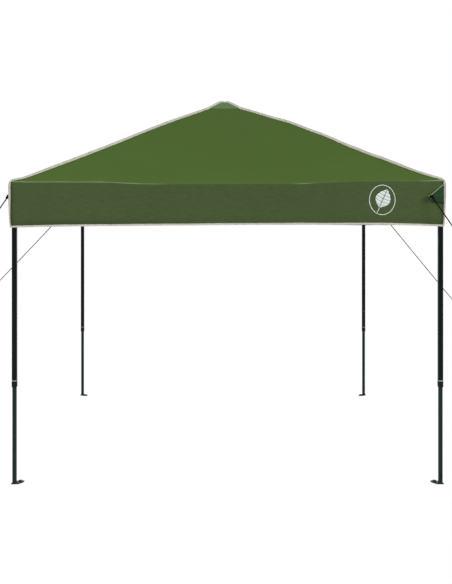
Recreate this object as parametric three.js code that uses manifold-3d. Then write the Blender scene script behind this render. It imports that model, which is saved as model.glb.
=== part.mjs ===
// Pop-up gazebo: a square canopy on a folding scissor frame with four telescopic legs.
// Millimetres, +Z up. The origin is on the ground, midway between the four legs. Front is -Y.
import * as THREE from "three";
import { mergeVertices } from "three/addons/utils/BufferGeometryUtils.js";
import Module from "manifold-3d";

// ---- Driving dimensions ----
const LEG_C = 1412; // leg centre to the middle plane, along X and along Y
const OUTER = 31; // outer leg tube, across flats
const OUTER_WALL = 1.0;
const INNER = 25; // inner leg tube, across flats
const INNER_WALL = 1.0;
const Z_TOP_PIVOT = 1948; // pins at the leg tops and at the upper hub
const Z_LEG_TOP = 1990; // top of the corner cap
const Z_COLLAR = 641; // lower end of the outer tube's collar
const Z_RING = 680; // ring on top of the collar
const INNER_TOP = 930; // top end of the inner tube
const HOLES_Z = [739, 841, 943, 1045]; // height holes in the outer tube
const BUTTON_Z = 841; // the hole in use
const ARM = 600; // bar length from its leg or hub pin to the crossing pin
const ARM_MID = 749.2; // bar length from the crossing pin to the mid-side pin
const OFF_LEG = 48; // leg centre to a truss pin
const OFF_MID = 32; // mid-side fitting centre to a side-truss pin
const OFF_HUB = 44; // hub centre to a centre-truss pin
const OFF_MIDC = 36; // mid-side fitting centre to its centre-truss pin
const BAR_H = 20;
const BAR_T = 10;
const BAR_WALL = 0.8;
const LAYER = 1.5; // half the gap between the two bars of a scissor
const PIN_R = 3.2;
const HOLE_R = 4.0;
const PIN_SIDES = 6;
const HEAD_R = 5.5;
const EAVE = 1448; // half the canopy's width at the eave
const HEM = 1434; // half the canopy's width at the valance's hem
const Z_EAVE = 1985;
const Z_HEM = 1707;
const Z_APEX = 2740;
const CAP_HALF = 128; // half the width of the apex panel
const CAP_DROP = 72; // apex to the apex panel's lower edge
const CLOTH = 1.0;
const ROPE_D = 8;
const SPAN = LEG_C - OFF_LEG - OFF_MID; // between a leg pin and a mid-side pin
const THETA = Math.acos(SPAN / (ARM + ARM_MID)); // a bar's slope when the frame stands open
const S = Math.sin(THETA);
const Z_SLIDER = Z_TOP_PIVOT - 2 * ARM * S;
const Z_CROSS = Z_TOP_PIVOT - ARM * S;
const Z_MID_LOW = Z_CROSS - ARM_MID * S;
const Z_MID_UP = Z_CROSS + ARM_MID * S;

// ---- Materials ----
const steel = (color, roughness = 0.42, metalness = 0.55) =>
  new THREE.MeshStandardMaterial({ color, roughness, metalness });
const plastic = (color, roughness = 0.5) =>
  new THREE.MeshStandardMaterial({ color, roughness, metalness: 0 });
const OUTER_COAT = 0x1d2324;
const INNER_COAT = 0x2f3637;
const BAR_COAT = 0x2a2f31;
const MOULDED = 0x17191a;
const BUTTON_ZINC = 0x8f9496;
const CLOTH_GREEN = 0x4e6633;
const ROPE_BLACK = 0x101112;

// ---- Solid helpers ----
const wasm = await Module();
wasm.setup();

// A closed three.js geometry as a solid.
function solid(geometry) {
  const g = geometry.index ? geometry.toNonIndexed() : geometry.clone();
  g.deleteAttribute("normal");
  g.deleteAttribute("uv");
  const m = mergeVertices(g, 1e-4);
  return new wasm.Manifold(
    new wasm.Mesh({
      numProp: 3,
      vertProperties: m.attributes.position.array,
      triVerts: new Uint32Array(m.index.array),
    }),
  );
}

// A box between two corners.
function box(x0, x1, y0, y1, z0, z1) {
  const g = new THREE.BoxGeometry(x1 - x0, y1 - y0, z1 - z0);
  g.translate((x0 + x1) / 2, (y0 + y1) / 2, (z0 + z1) / 2);
  return solid(g);
}

// A round pin or hole along "x", "y" or "z", from a to b, through (u, v) in the other two axes.
function rod(axis, r, a, b, u, v, sides = 8) {
  const g = new THREE.CylinderGeometry(r, r, b - a, sides);
  g.rotateY(Math.PI / sides);
  if (axis === "x") g.rotateZ(-Math.PI / 2).translate((a + b) / 2, u, v);
  if (axis === "y") g.translate(u, (a + b) / 2, v);
  if (axis === "z") g.rotateX(Math.PI / 2).translate(u, v, (a + b) / 2);
  return solid(g);
}

// An outline in XY drawn up from z0 to z1.
function plate(points, z0, z1) {
  const shape = new THREE.Shape(points.map(([x, y]) => new THREE.Vector2(x, y)));
  const g = new THREE.ExtrudeGeometry(shape, {
    depth: z1 - z0,
    bevelEnabled: false,
  });
  g.translate(0, 0, z0);
  return solid(g);
}

const joined = (...s) => s.reduce((a, b) => a.add(b));

// A solid as a named mesh.
function mesh(name, s, material) {
  const m = s.getMesh();
  const v = new Float32Array(m.numVert * 3);
  for (let i = 0; i < m.numVert; i++)
    v.set(m.vertProperties.subarray(i * m.numProp, i * m.numProp + 3), i * 3);
  const g = new THREE.BufferGeometry();
  g.setAttribute("position", new THREE.BufferAttribute(v, 3));
  g.setIndex(new THREE.BufferAttribute(new Uint32Array(m.triVerts), 1));
  g.computeVertexNormals();
  const out = new THREE.Mesh(g, material);
  out.name = name;
  return out;
}

// ---- Scissor bar ----
// A square-ended steel tube from its first pin at x = 0 to its last pin at x = L, in the layer
// that side names: 1 is y > 0 and -1 is y < 0. It is drilled for a pin at each x in holes, and
// carries a headed pin at each x in pins, which goes through the bar in the other layer.
function bar(side, holes, pins) {
  const L = ARM + ARM_MID,
    h = BAR_H / 2,
    near = side * LAYER,
    far = side * (LAYER + BAR_T);
  const y0 = Math.min(near, far),
    y1 = Math.max(near, far);
  const outline = [
    [-h, -h / 2],
    [-h / 2, -h],
    [L + h / 2, -h],
    [L + h, -h / 2],
    [L + h, h / 2],
    [L + h / 2, h],
    [-h / 2, h],
    [-h, h / 2],
  ];
  const shape = new THREE.Shape(
    outline.map(([x, z]) => new THREE.Vector2(x, z)),
  );
  const g = new THREE.ExtrudeGeometry(shape, {
    depth: BAR_T,
    bevelEnabled: false,
  });
  // the outline's second axis becomes Z, and the depth runs along Y
  g.rotateX(Math.PI / 2).translate(0, y1, 0);
  let s = solid(g).subtract(
    box(
      -30,
      L + 30,
      y0 + BAR_WALL,
      y1 - BAR_WALL,
      -h + BAR_WALL,
      h - BAR_WALL,
    ),
  );
  for (const x of holes) 
    s = s.subtract(rod("y", HOLE_R, y0 - 5, y1 + 5, x, 0, PIN_SIDES));
  for (const x of pins) {
    const back = -side * (LAYER + BAR_T + 0.8);
    s = joined(
      s,
      rod("y", PIN_R, Math.min(back, far), Math.max(back, far), x, 0, PIN_SIDES),
      side > 0
        ? rod("y", HEAD_R, back - 2.4, back + 0.4, x, 0)
        : rod("y", HEAD_R, back - 0.4, back + 2.4, x, 0),
      side > 0
        ? rod("y", HEAD_R - 1, far - 0.4, far + 1.4, x, 0)
        : rod("y", HEAD_R - 1, far - 1.4, far + 0.4, x, 0),
    );
  }
  return s;
}

// A lug with a headed pin for a bar's end. The pin is at distance off from the fitting's centre.
// dir is the way the lug points and layer the side of the truss plane that the bar is on: the
// lug stands on the other side. from is where the lug leaves its fitting.
function lug(dir, from, off, z, layer, halfHeight = 10) {
  // built pointing along +X with the bar's layer at y of sign "layer", then turned
  const a = layer > 0 ? -9 : -0.9,
    b = layer > 0 ? 0.9 : 9;
  const tip = off + 10;
  const body = plate(
    [
      [from, a],
      [tip, a],
      [tip, b],
      [from, b],
    ],
    z - halfHeight,
    z + halfHeight,
  );
  const end = LAYER + BAR_T + 0.8;
  const pin =
    layer > 0
      ? joined(
          rod("y", PIN_R, -1, end, off, z, PIN_SIDES),
          rod("y", HEAD_R, end - 0.4, end + 2.4, off, z),
        )
      : joined(
          rod("y", PIN_R, -end, 1, off, z, PIN_SIDES),
          rod("y", HEAD_R, -end - 2.4, -end + 0.4, off, z),
        );
  return body.add(pin).rotate([0, 0, dir]);
}

// ---- Legs ----
// Built at the front right corner, with the leg's centre line at x = y = 0. The front truss
// leaves towards -X and the right truss towards +Y. The other corners are turned copies.
const o = OUTER / 2,
  oi = o - OUTER_WALL,
  n = INNER / 2,
  ni = n - INNER_WALL;

// Towards -X (dir 180) the outward side is -Y, which is +Y before the lug is turned.
// Towards +Y (dir 90) the outward side is +X, which is -Y before the lug is turned.
function legOuter() {
  let s = box(-o, o, -o, o, Z_COLLAR + 1, Z_LEG_TOP - 6);
  s = joined(
    s,
    box(-18, 18, -18, 18, 1916, Z_LEG_TOP - 3), // corner cap
    box(-15.5, 15.5, -15.5, 15.5, Z_LEG_TOP - 4, Z_LEG_TOP),
    box(-17, 17, -17, 17, Z_COLLAR, Z_RING), // end collar
    box(-17.6, 17.6, -17.6, 17.6, Z_RING, Z_RING + 6), // ring
    lug(180, 10, OFF_LEG, Z_TOP_PIVOT, 1, 13),
    lug(90, 10, OFF_LEG, Z_TOP_PIVOT, -1, 13),
  );
  s = s.subtract(box(-oi, oi, -oi, oi, Z_COLLAR - 10, Z_LEG_TOP - 8));
  for (const z of HOLES_Z)
    s = s.subtract(rod("x", 4.6, -o - 4, -oi + 3, 0, z));
  return s;
}

function legInner() {
  let s = box(-n, n, -n, n, 2, INNER_TOP).subtract(
    box(-ni, ni, -ni, ni, 4, INNER_TOP + 10),
  );
  const foot = plate(
    [
      [20, -20],
      [20, 27],
      [-18, 55],
      [-50, 55],
      [-55, 50],
      [-55, 18],
      [-27, -20],
    ],
    0,
    4,
  );
  s = joined(s, foot, rod("z", 13, 3, 12, -32, 32, 12));
  s = s.subtract(rod("z", 5.5, -5, 20, -32, 32, 8)); // peg hole
  for (const z of [42, 62]) s = s.subtract(rod("y", 3.4, -n - 4, -ni + 3, 0, z));
  return s.subtract(rod("x", 4.6, -n - 4, -ni + 3, 0, BUTTON_Z));
}

// Snap button: a flange inside the inner tube and a nose that stops short of the outer tube.
const legButton = () =>
  joined(
    rod("x", 4.1, -(oi - 0.4), -8.5, 0, BUTTON_Z),
    rod("x", 6.5, -(ni - 0.4), -8.2, 0, BUTTON_Z),
  );

// Slider: a moulded ring round the outer tube, with a lug for each truss and a boss for its pin.
const PULL_Y = 10.5,
  PULL_Z = Z_SLIDER + 15.5;
function slider() {
  const r = 19,
    c = o + 0.6;
  let s = joined(
    box(-r, r, -r, r, Z_SLIDER - 24, Z_SLIDER + 24),
    lug(180, 10, OFF_LEG, Z_SLIDER, -1, 11),
    lug(90, 10, OFF_LEG, Z_SLIDER, 1, 11),
    box(-24, -18, PULL_Y - 6.5, PULL_Y + 6.5, PULL_Z - 6.5, PULL_Z + 6.5),
  );
  s = s.subtract(box(-c, c, -c, c, Z_SLIDER - 40, Z_SLIDER + 40));
  return s.subtract(rod("x", 4.9, -40, -c + 2, PULL_Y, PULL_Z));
}
const sliderButton = () =>
  joined(
    rod("x", 4.5, -28.5, -16.5, PULL_Y, PULL_Z),
    rod("x", 7, -31.5, -28, PULL_Y, PULL_Z),
  );

// ---- Mid-side fittings ----
// Built for the front side, with the fitting's centre at x = y = 0. Outward is -Y.
const BLOCK = 12;
function midFitting(z, sideLayer, centreLayer) {
  // sideLayer 1: the side bars are on the outward side. centreLayer 1: the centre bar is at x > 0.
  return joined(
    box(-BLOCK, BLOCK, -BLOCK, BLOCK, z - 14, z + 14),
    lug(0, 8, OFF_MID, z, -sideLayer),
    lug(180, 8, OFF_MID, z, sideLayer),
    lug(90, 8, OFF_MIDC, z, -centreLayer),
  );
}

// ---- Hubs and peak pole ----
function hub(z, layer, socket) {
  let s = box(-17, 17, -17, 17, z - 20, z + 20);
  for (const turn of [0, 90, 180, 270])
    s = s.add(lug(-90, 12, OFF_HUB, z, layer).rotate([0, 0, turn]));
  if (!socket) return s;
  return s
    .add(rod("z", 17, z + 18, z + 46, 0, 0, 12))
    .subtract(rod("z", 12.9, z - 8, z + 60, 0, 0, 12));
}
const POLE_FOOT = Z_TOP_PIVOT - 7.6;
const peakPole = () =>
  joined(
    rod("z", 12.4, POLE_FOOT, 2704, 0, 0, 12).subtract(
      rod("z", 11.2, POLE_FOOT - 10, 2690, 0, 0, 12),
    ),
    rod("z", 19, 2700, 2712, 0, 0, 12),
    rod("z", 14, 2711, 2721, 0, 0, 12),
  );

// ---- Canopy ----
// A square shell: its outer skin rises from the hem to the eave and on to the apex.
function canopy() {
  const outer = [
    [HEM, Z_HEM],
    [EAVE, Z_EAVE],
    [CAP_HALF, Z_APEX - CAP_DROP],
  ];
  const inner = [
    [HEM - CLOTH, Z_HEM],
    [EAVE - CLOTH, Z_EAVE - CLOTH * 0.7],
    [CAP_HALF, Z_APEX - CAP_DROP - CLOTH * 1.15],
  ];
  const v = [],
    f = [];
  const ring = ([h, z]) => {
    const at = v.length;
    v.push([h, -h, z], [h, h, z], [-h, h, z], [-h, -h, z]);
    return at;
  };
  const quad = (a, b, c, d) => f.push([a, b, c], [a, c, d]);
  const skin = (rings, apex, out) => {
    const at = rings.map(ring);
    for (let k = 0; k + 1 < at.length; k++)
      for (let i = 0; i < 4; i++) {
        const j = (i + 1) % 4,
          q = [at[k] + i, at[k] + j, at[k + 1] + j, at[k + 1] + i];
        quad(...(out ? q : q.reverse()));
      }
    v.push([0, 0, apex]);
    const top = v.length - 1,
      last = at[at.length - 1];
    for (let i = 0; i < 4; i++) {
      const j = (i + 1) % 4;
      f.push(out ? [last + i, last + j, top] : [last + j, last + i, top]);
    }
    return at[0];
  };
  const a = skin(outer, Z_APEX, true),
    b = skin(inner, Z_APEX - CLOTH * 1.2, false);
  for (let i = 0; i < 4; i++) {
    const j = (i + 1) % 4;
    quad(b + i, b + j, a + j, a + i);
  }
  const g = new THREE.BufferGeometry();
  g.setAttribute(
    "position",
    new THREE.Float32BufferAttribute(
      f.flatMap((t) => t.flatMap((i) => v[i])),
      3,
    ),
  );
  return solid(g);
}

// ---- Guy ropes ----
// Each leaves an eyelet near its corner and is held taut, so it runs almost straight. From its
// exit to its far end, with the sag at the middle.
const ROPES = {
  front_right: { a: [1343, -1472, 1897.6], b: [1495.2, -1570, 1637.5], sag: 0.6 },
  front_left: { a: [-1472, -1343, 1905.5], b: [-1606.9, -1440, 1675.5], sag: 0.5 },
  rear_left: { a: [-1462, 1360, 1966], b: [-2435, 1909, 1050.5], sag: 6 },
  rear_right: { a: [1466, 1360, 1966], b: [2501.7, 1888, 842.8], sag: 6 },
};
function rope({ a, b, sag }) {
  const steps = 10,
    points = [];
  for (let i = 0; i <= steps; i++) {
    const t = i / steps;
    points.push(
      new THREE.Vector3(
        a[0] + (b[0] - a[0]) * t,
        a[1] + (b[1] - a[1]) * t,
        a[2] + (b[2] - a[2]) * t - 4 * sag * t * (1 - t),
      ),
    );
  }
  const section = new THREE.Shape(
    [...Array(8).keys()].map((i) => {
      const w = (i * Math.PI) / 4;
      return new THREE.Vector2((Math.cos(w) * ROPE_D) / 2, (Math.sin(w) * ROPE_D) / 2);
    }),
  );
  return solid(
    new THREE.ExtrudeGeometry(section, {
      steps,
      bevelEnabled: false,
      extrudePath: new THREE.CatmullRomCurve3(points),
    }),
  );
}

// ---- Assembly ----
const gazebo = new THREE.Group();

// Turned copies, anticlockwise from the front (sides) or the front right (corners).
const SIDES = ["front", "right", "rear", "left"];
const CORNERS = ["front_right", "rear_right", "rear_left", "front_left"];

CORNERS.forEach((corner, k) => {
  const turned = new THREE.Group();
  turned.rotation.z = (k * Math.PI) / 2;
  const at = new THREE.Group();
  at.position.set(LEG_C, -LEG_C, 0);
  at.add(
    mesh("leg_outer_" + corner, legOuter(), steel(OUTER_COAT, 0.38)),
    mesh("leg_inner_" + corner, legInner(), steel(INNER_COAT, 0.45)),
    mesh("leg_button_" + corner, legButton(), steel(BUTTON_ZINC, 0.35, 0.9)),
    mesh("slider_" + corner, slider(), plastic(MOULDED)),
    mesh("slider_button_" + corner, sliderButton(), plastic(0x2b2d2e)),
  );
  turned.add(at);
  gazebo.add(turned);
});

SIDES.forEach((side, k) => {
  const turned = new THREE.Group();
  turned.rotation.z = (k * Math.PI) / 2;

  const middle = new THREE.Group();
  middle.position.set(0, -LEG_C, 0);
  middle.add(
    mesh("mid_upper_" + side, midFitting(Z_MID_UP, -1, -1), plastic(MOULDED)),
    mesh("mid_lower_" + side, midFitting(Z_MID_LOW, 1, 1), plastic(MOULDED)),
  );

  // Side scissors: "a" is the cell towards -X of a front side, "b" the one towards +X. The
  // rising bar goes from the lower mid-side fitting up to a leg top, in the outward layer. The
  // falling bar goes from the upper mid-side fitting down to a slider, in the inward layer.
  for (const [cell, sign] of [
    ["a", -1],
    ["b", 1],
  ]) {
    const facing = new THREE.Group();
    facing.rotation.z = sign > 0 ? 0 : Math.PI;
    const out = sign > 0 ? -1 : 1; // the bar's own y of the outward layer
    const rise = mesh(
      "truss_rise_" + side + "_" + cell,
      bar(out, [0, ARM + ARM_MID], [ARM_MID]),
      steel(BAR_COAT),
    );
    rise.position.set(OFF_MID, 0, Z_MID_LOW);
    rise.rotation.y = -THETA;
    const fall = mesh(
      "truss_fall_" + side + "_" + cell,
      bar(-out, [0, ARM_MID, ARM + ARM_MID], []),
      steel(BAR_COAT),
    );
    fall.position.set(OFF_MID, 0, Z_MID_UP);
    fall.rotation.y = THETA;
    facing.add(rise, fall);
    middle.add(facing);
  }
  turned.add(middle);

  // Centre scissor, from the hubs to the mid-side fittings. The bars' own +X points to -Y.
  const inward = new THREE.Group();
  inward.rotation.z = -Math.PI / 2;
  const down = mesh(
    "centre_fall_" + side,
    bar(1, [0, ARM + ARM_MID], [ARM]),
    steel(BAR_COAT),
  );
  down.position.set(OFF_HUB, 0, Z_TOP_PIVOT);
  down.rotation.y = THETA;
  const up = mesh(
    "centre_rise_" + side,
    bar(-1, [0, ARM, ARM + ARM_MID], []),
    steel(BAR_COAT),
  );
  up.position.set(OFF_HUB, 0, Z_SLIDER);
  up.rotation.y = -THETA;
  inward.add(down, up);
  turned.add(inward);
  gazebo.add(turned);
});

gazebo.add(
  mesh("hub_upper", hub(Z_TOP_PIVOT, 1, true), plastic(MOULDED)),
  mesh("hub_lower", hub(Z_SLIDER, -1, false), plastic(MOULDED)),
  mesh("peak_pole", peakPole(), steel(OUTER_COAT, 0.4)),
  mesh(
    "canopy",
    canopy(),
    new THREE.MeshStandardMaterial({
      color: CLOTH_GREEN,
      roughness: 0.8,
      metalness: 0,
    }),
  ),
);
for (const [corner, route] of Object.entries(ROPES))
  gazebo.add(mesh("guy_rope_" + corner, rope(route), plastic(ROPE_BLACK, 0.85)));

export default gazebo;
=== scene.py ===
"""Pop-up gazebo: the cloth, cords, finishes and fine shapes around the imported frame."""

import math

import bmesh
import bpy
import numpy as np
from mathutils import Matrix, Vector


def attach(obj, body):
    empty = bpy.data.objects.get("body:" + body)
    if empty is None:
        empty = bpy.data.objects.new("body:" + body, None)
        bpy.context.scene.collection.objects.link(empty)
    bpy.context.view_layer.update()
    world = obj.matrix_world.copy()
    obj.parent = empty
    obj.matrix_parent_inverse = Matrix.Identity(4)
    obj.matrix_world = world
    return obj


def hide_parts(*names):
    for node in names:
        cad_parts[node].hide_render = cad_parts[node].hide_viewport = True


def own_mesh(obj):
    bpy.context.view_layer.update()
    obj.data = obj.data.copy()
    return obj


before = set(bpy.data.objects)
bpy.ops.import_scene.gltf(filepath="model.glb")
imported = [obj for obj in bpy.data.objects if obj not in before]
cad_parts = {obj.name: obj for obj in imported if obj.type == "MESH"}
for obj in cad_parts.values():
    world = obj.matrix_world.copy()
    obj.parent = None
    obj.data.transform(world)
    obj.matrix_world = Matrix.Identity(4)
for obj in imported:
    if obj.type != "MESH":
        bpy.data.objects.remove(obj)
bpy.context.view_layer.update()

# ---- Sizes, in metres, in the CAD frame ----
LEG_C = 1.412
OUTER, INNER = 0.031, 0.025
Z_TOP_PIVOT = 1.948
Z_COLLAR, Z_RING = 0.641, 0.680
Z_LEG_TOP = 1.990
INNER_TOP = 0.930
HOLES_Z = [0.739, 0.841, 0.943, 1.045]
BUTTON_Z = 0.841
ARM, ARM_MID = 0.600, 0.7492
OFF_LEG, OFF_MID, OFF_HUB, OFF_MIDC = 0.048, 0.032, 0.044, 0.036
BAR_H, BAR_T, BAR_WALL, LAYER = 0.020, 0.010, 0.0008, 0.0015
THETA = math.acos((LEG_C - OFF_LEG - OFF_MID) / (ARM + ARM_MID))
Z_SLIDER = Z_TOP_PIVOT - 2 * ARM * math.sin(THETA)
Z_CROSS = Z_TOP_PIVOT - ARM * math.sin(THETA)
Z_MID_LOW = Z_CROSS - ARM_MID * math.sin(THETA)
Z_MID_UP = Z_CROSS + ARM_MID * math.sin(THETA)
CLOTH_EAVE = 1.4360  # half the cloth's width at the eave
CLOTH_HEM = 1.4310  # and at the hem
CLOTH_SHIFT = -0.003  # the canopy sits a little to one side on the frame
CLOTH_ROUND = 0.006  # the radius of its corners in plan
Z_APEX = 2.7330
CAP_HALF = 0.128
ROPE_D = 0.008
CORNERS = ["front_right", "rear_right", "rear_left", "front_left"]
SIDES = ["front", "right", "rear", "left"]


# ---- Camera ----
def make_camera():
    cam = bpy.data.objects.new("camera", bpy.data.cameras.new("camera"))
    bpy.context.scene.collection.objects.link(cam)
    cam.location = (-0.086, -6.89, 1.727)
    cam.rotation_euler = (math.pi / 2, 0, 0)
    cam.data.sensor_width = 36
    cam.data.lens = 826.0 / 584 * 36
    cam.data.shift_x = (226.0 - 214.5) / 584
    cam.data.shift_y = -(292.0 - 223.0) / 584
    cam.data.clip_end = 200
    cam.data.dof.use_dof = False
    bpy.context.scene.camera = cam


make_camera()


# ---- Mesh helpers ----
def turn(points, k):
    """Points turned k quarter turns anticlockwise about the Z axis."""
    c, s = [(1, 0), (0, 1), (-1, 0), (0, -1)][k % 4]
    p = np.asarray(points, float)
    out = p.copy()
    out[..., 0] = c * p[..., 0] - s * p[..., 1]
    out[..., 1] = s * p[..., 0] + c * p[..., 1]
    return out


class Shape:
    """Vertices, faces, a material index and a UV for each face's corners, gathered from several shells."""

    def __init__(self):
        self.v, self.f, self.m, self.uv = [], [], [], []
        self.n = 0

    def add(self, v, f, m=0, uv=None):
        v = np.asarray(v, float).reshape(-1, 3)
        self.v.append(v)
        for i, face in enumerate(f):
            self.f.append([a + self.n for a in face])
            self.m.append(m if isinstance(m, int) else m[i])
            self.uv.append(uv[i] if uv is not None else [(0.0, 0.0)] * len(face))
        self.n += len(v)
        return self

    def merge(self, other, matrix=None, m=None):
        v = np.concatenate(other.v)
        if matrix is not None:
            a = np.array(matrix, float)
            v = v @ a[:3, :3].T + a[:3, 3]
        self.v.append(v)
        for f, mi, uv in zip(other.f, other.m, other.uv):
            self.f.append([a + self.n for a in f])
            self.m.append(mi if m is None else m)
            self.uv.append(uv)
        self.n += len(v)
        return self

    def points(self):
        return np.concatenate(self.v)

    def object(self, name, materials, turned=0, smooth=35.0):
        me = bpy.data.meshes.new(name)
        v = turn(self.points(), turned)
        me.from_pydata([tuple(p) for p in v], [], self.f)
        for mat in materials if isinstance(materials, (list, tuple)) else [materials]:
            me.materials.append(mat)
        me.polygons.foreach_set("material_index", self.m)
        layer = me.uv_layers.new(name="UVMap")
        layer.data.foreach_set(
            "uv", [c for face in self.uv for corner in face for c in corner]
        )
        me.validate()
        bm = bmesh.new()
        bm.from_mesh(me)
        if all(len(e.link_faces) == 2 for e in bm.edges):  # closed, so its faces can face out
            bmesh.ops.recalc_face_normals(bm, faces=bm.faces)
            bm.to_mesh(me)
        bm.free()
        me.update()
        if smooth is not None:
            me.polygons.foreach_set("use_smooth", [True] * len(me.polygons))
            me.set_sharp_from_angle(angle=math.radians(smooth))
        o = bpy.data.objects.new(name, me)
        bpy.context.scene.collection.objects.link(o)
        return o


def grid_faces(rows, cols, close_rows=False, close_cols=False, flip=False):
    f = []
    for i in range(rows if close_rows else rows - 1):
        for j in range(cols if close_cols else cols - 1):
            a, b = i * cols + j, i * cols + (j + 1) % cols
            c, d = ((i + 1) % rows) * cols + (j + 1) % cols, ((i + 1) % rows) * cols + j
            f.append([a, d, c, b] if flip else [a, b, c, d])
    return f


def rounded_box(x0, x1, y0, y1, z0, z1, r=0.0015, segments=2):
    bm = bmesh.new()
    bmesh.ops.create_cube(bm, size=1.0)
    for v in bm.verts:
        v.co = Vector(
            (
                x0 + (v.co.x + 0.5) * (x1 - x0),
                y0 + (v.co.y + 0.5) * (y1 - y0),
                z0 + (v.co.z + 0.5) * (z1 - z0),
            )
        )
    r = min(r, 0.45 * min(x1 - x0, y1 - y0, z1 - z0))
    bmesh.ops.bevel(
        bm,
        geom=list(bm.edges),
        offset=r,
        segments=segments,
        profile=0.5,
        affect="EDGES",
        clamp_overlap=True,
    )
    s = from_bmesh(bm)
    bm.free()
    return s


def from_bmesh(bm):
    bm.verts.index_update()
    s = Shape()
    s.add([v.co[:] for v in bm.verts], [[v.index for v in f.verts] for f in bm.faces])
    return s


def lathe(profile, axis="z", at=(0, 0, 0), sides=20):
    """A turned solid. The profile is (radius, height) pairs from the axis round to the axis, or closed on itself."""
    closed = profile[0][0] > 1e-9
    rings, v, f = [], [], []
    for r, h in profile:
        if r < 1e-9:
            rings.append([len(v)])
            v.append((0, 0, h))
        else:
            rings.append(list(range(len(v), len(v) + sides)))
            v += [
                (
                    r * math.cos(2 * math.pi * i / sides),
                    r * math.sin(2 * math.pi * i / sides),
                    h,
                )
                for i in range(sides)
            ]
    pairs = list(zip(rings, rings[1:])) + ([(rings[-1], rings[0])] if closed else [])
    for a, b in pairs:
        for i in range(sides):
            j = (i + 1) % sides
            if len(a) == 1 and len(b) == 1:
                continue
            if len(a) == 1:
                f.append([a[0], b[j], b[i]])
            elif len(b) == 1:
                f.append([a[i], a[j], b[0]])
            else:
                f.append([a[i], a[j], b[j], b[i]])
    v = np.array(v, float)
    if axis == "x":
        v = v[:, [2, 0, 1]]
    if axis == "y":
        v = v[:, [1, 2, 0]]
    return Shape().add(v + np.array(at, float), f)


def disc(r, h0, h1, axis="z", at=(0, 0, 0), sides=20, chamfer=0.0006):
    c = min(chamfer, 0.4 * (h1 - h0), 0.4 * r)
    return lathe(
        [(0, h0), (r - c, h0), (r, h0 + c), (r, h1 - c), (r - c, h1), (0, h1)],
        axis,
        at,
        sides,
    )


def domed(r, h0, h1, dome, axis="z", at=(0, 0, 0), sides=20):
    """A pin head or a button: a straight side with a domed end at h1."""
    steps = 5
    top = [
        (
            r * math.cos(math.pi / 2 * i / steps),
            h1 + dome * math.sin(math.pi / 2 * i / steps),
        )
        for i in range(steps + 1)
    ]
    top[-1] = (0, top[-1][1])
    return lathe([(0, h0), (r, h0)] + top, axis, at, sides)


def rounded_square(half, r, n=4):
    """The outline of a square tube with round corners, anticlockwise."""
    out = []
    for k, (cx, cy) in enumerate([(1, 1), (-1, 1), (-1, -1), (1, -1)]):
        for i in range(n + 1):
            w = math.pi / 2 * (k + i / n)
            out.append(
                (
                    cx * (half - r) + r * math.cos(w),
                    cy * (half - r) + r * math.sin(w),
                )
            )
    return out


def square_tube(half, wall, z0, z1, r=0.003, capped_top=False, n=4):
    """A square tube along Z with round corners and slightly eased ends."""
    e = 0.0004
    rings = []
    inner_r = max(r - wall, 0.0005)
    for h, rr, z in (
        (half - wall, inner_r, z0),
        (half - e, r, z0),
        (half, r, z0 + e),
        (half, r, z1 - e),
        (half - e, r, z1),
        (half - wall, inner_r, z1),
    ):
        rings.append([(x, y, z) for x, y in rounded_square(h, rr, n)])
    cols = len(rings[0])
    s = Shape()
    s.add(
        np.array(rings).reshape(-1, 3),
        grid_faces(len(rings), cols, close_rows=True, close_cols=True),
    )
    return s


def boolean(target, cutters, name="cut"):
    """target, a Shape, with the cutter shapes taken away, by an exact boolean."""
    t = target.object(name + "_t", [], smooth=None)
    c = Shape()
    for k in cutters:
        c.merge(k)
    co = c.object(name + "_c", [], smooth=None)
    mod = t.modifiers.new("cut", "BOOLEAN")
    mod.operation, mod.solver, mod.object = "DIFFERENCE", "EXACT", co
    bpy.context.view_layer.update()
    e = t.evaluated_get(bpy.context.evaluated_depsgraph_get())
    me = e.to_mesh()
    s = Shape()
    s.add(
        [v.co[:] for v in me.vertices],
        [list(p.vertices) for p in me.polygons],
    )
    e.to_mesh_clear()
    for ob in (t, co):
        d = ob.data
        bpy.data.objects.remove(ob)
        bpy.data.meshes.remove(d)
    return s


def sweep(path, up, side, section, m=None, closed=False, caps=True, scale=None):
    """A section of (up, side) points carried along a path with an up and a side direction at each point."""
    path, up, side = (np.asarray(a, float) for a in (path, up, side))
    n, k = len(path), len(section)
    sec = np.array(section, float)
    v = np.zeros((n, k, 3))
    for i in range(n):
        sc = 1.0 if scale is None else scale[i]
        v[i] = (
            path[i]
            + sec[:, :1] * sc * up[i]
            + sec[:, 1:2] * side[i]
        )
    length = np.concatenate(
        [[0], np.cumsum(np.linalg.norm(np.diff(path, axis=0), axis=1))]
    )
    around = np.concatenate(
        [
            [0],
            np.cumsum(
                np.linalg.norm(np.diff(np.vstack([sec, sec[:1]]), axis=0), axis=1)
            ),
        ]
    )
    faces, mats, uvs = [], [], []
    rows = n if closed else n - 1
    for i in range(rows):
        i2 = (i + 1) % n
        l0 = length[i]
        l1 = length[i + 1] if i + 1 < n else length[i] + np.linalg.norm(
            path[0] - path[i]
        )
        for j in range(k):
            j2 = (j + 1) % k
            faces.append([i * k + j, i * k + j2, i2 * k + j2, i2 * k + j])
            mats.append(m[j] if m is not None else 0)
            uvs.append(
                [
                    (l0, around[j]),
                    (l0, around[j + 1]),
                    (l1, around[j + 1]),
                    (l1, around[j]),
                ]
            )
    if caps and not closed:
        faces += [list(range(k))[::-1], [(n - 1) * k + j for j in range(k)]]
        mats += [0, 0]
        uvs += [[(0, 0)] * k, [(0, 0)] * k]
    return Shape().add(v.reshape(-1, 3), faces, mats, uvs)


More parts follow.
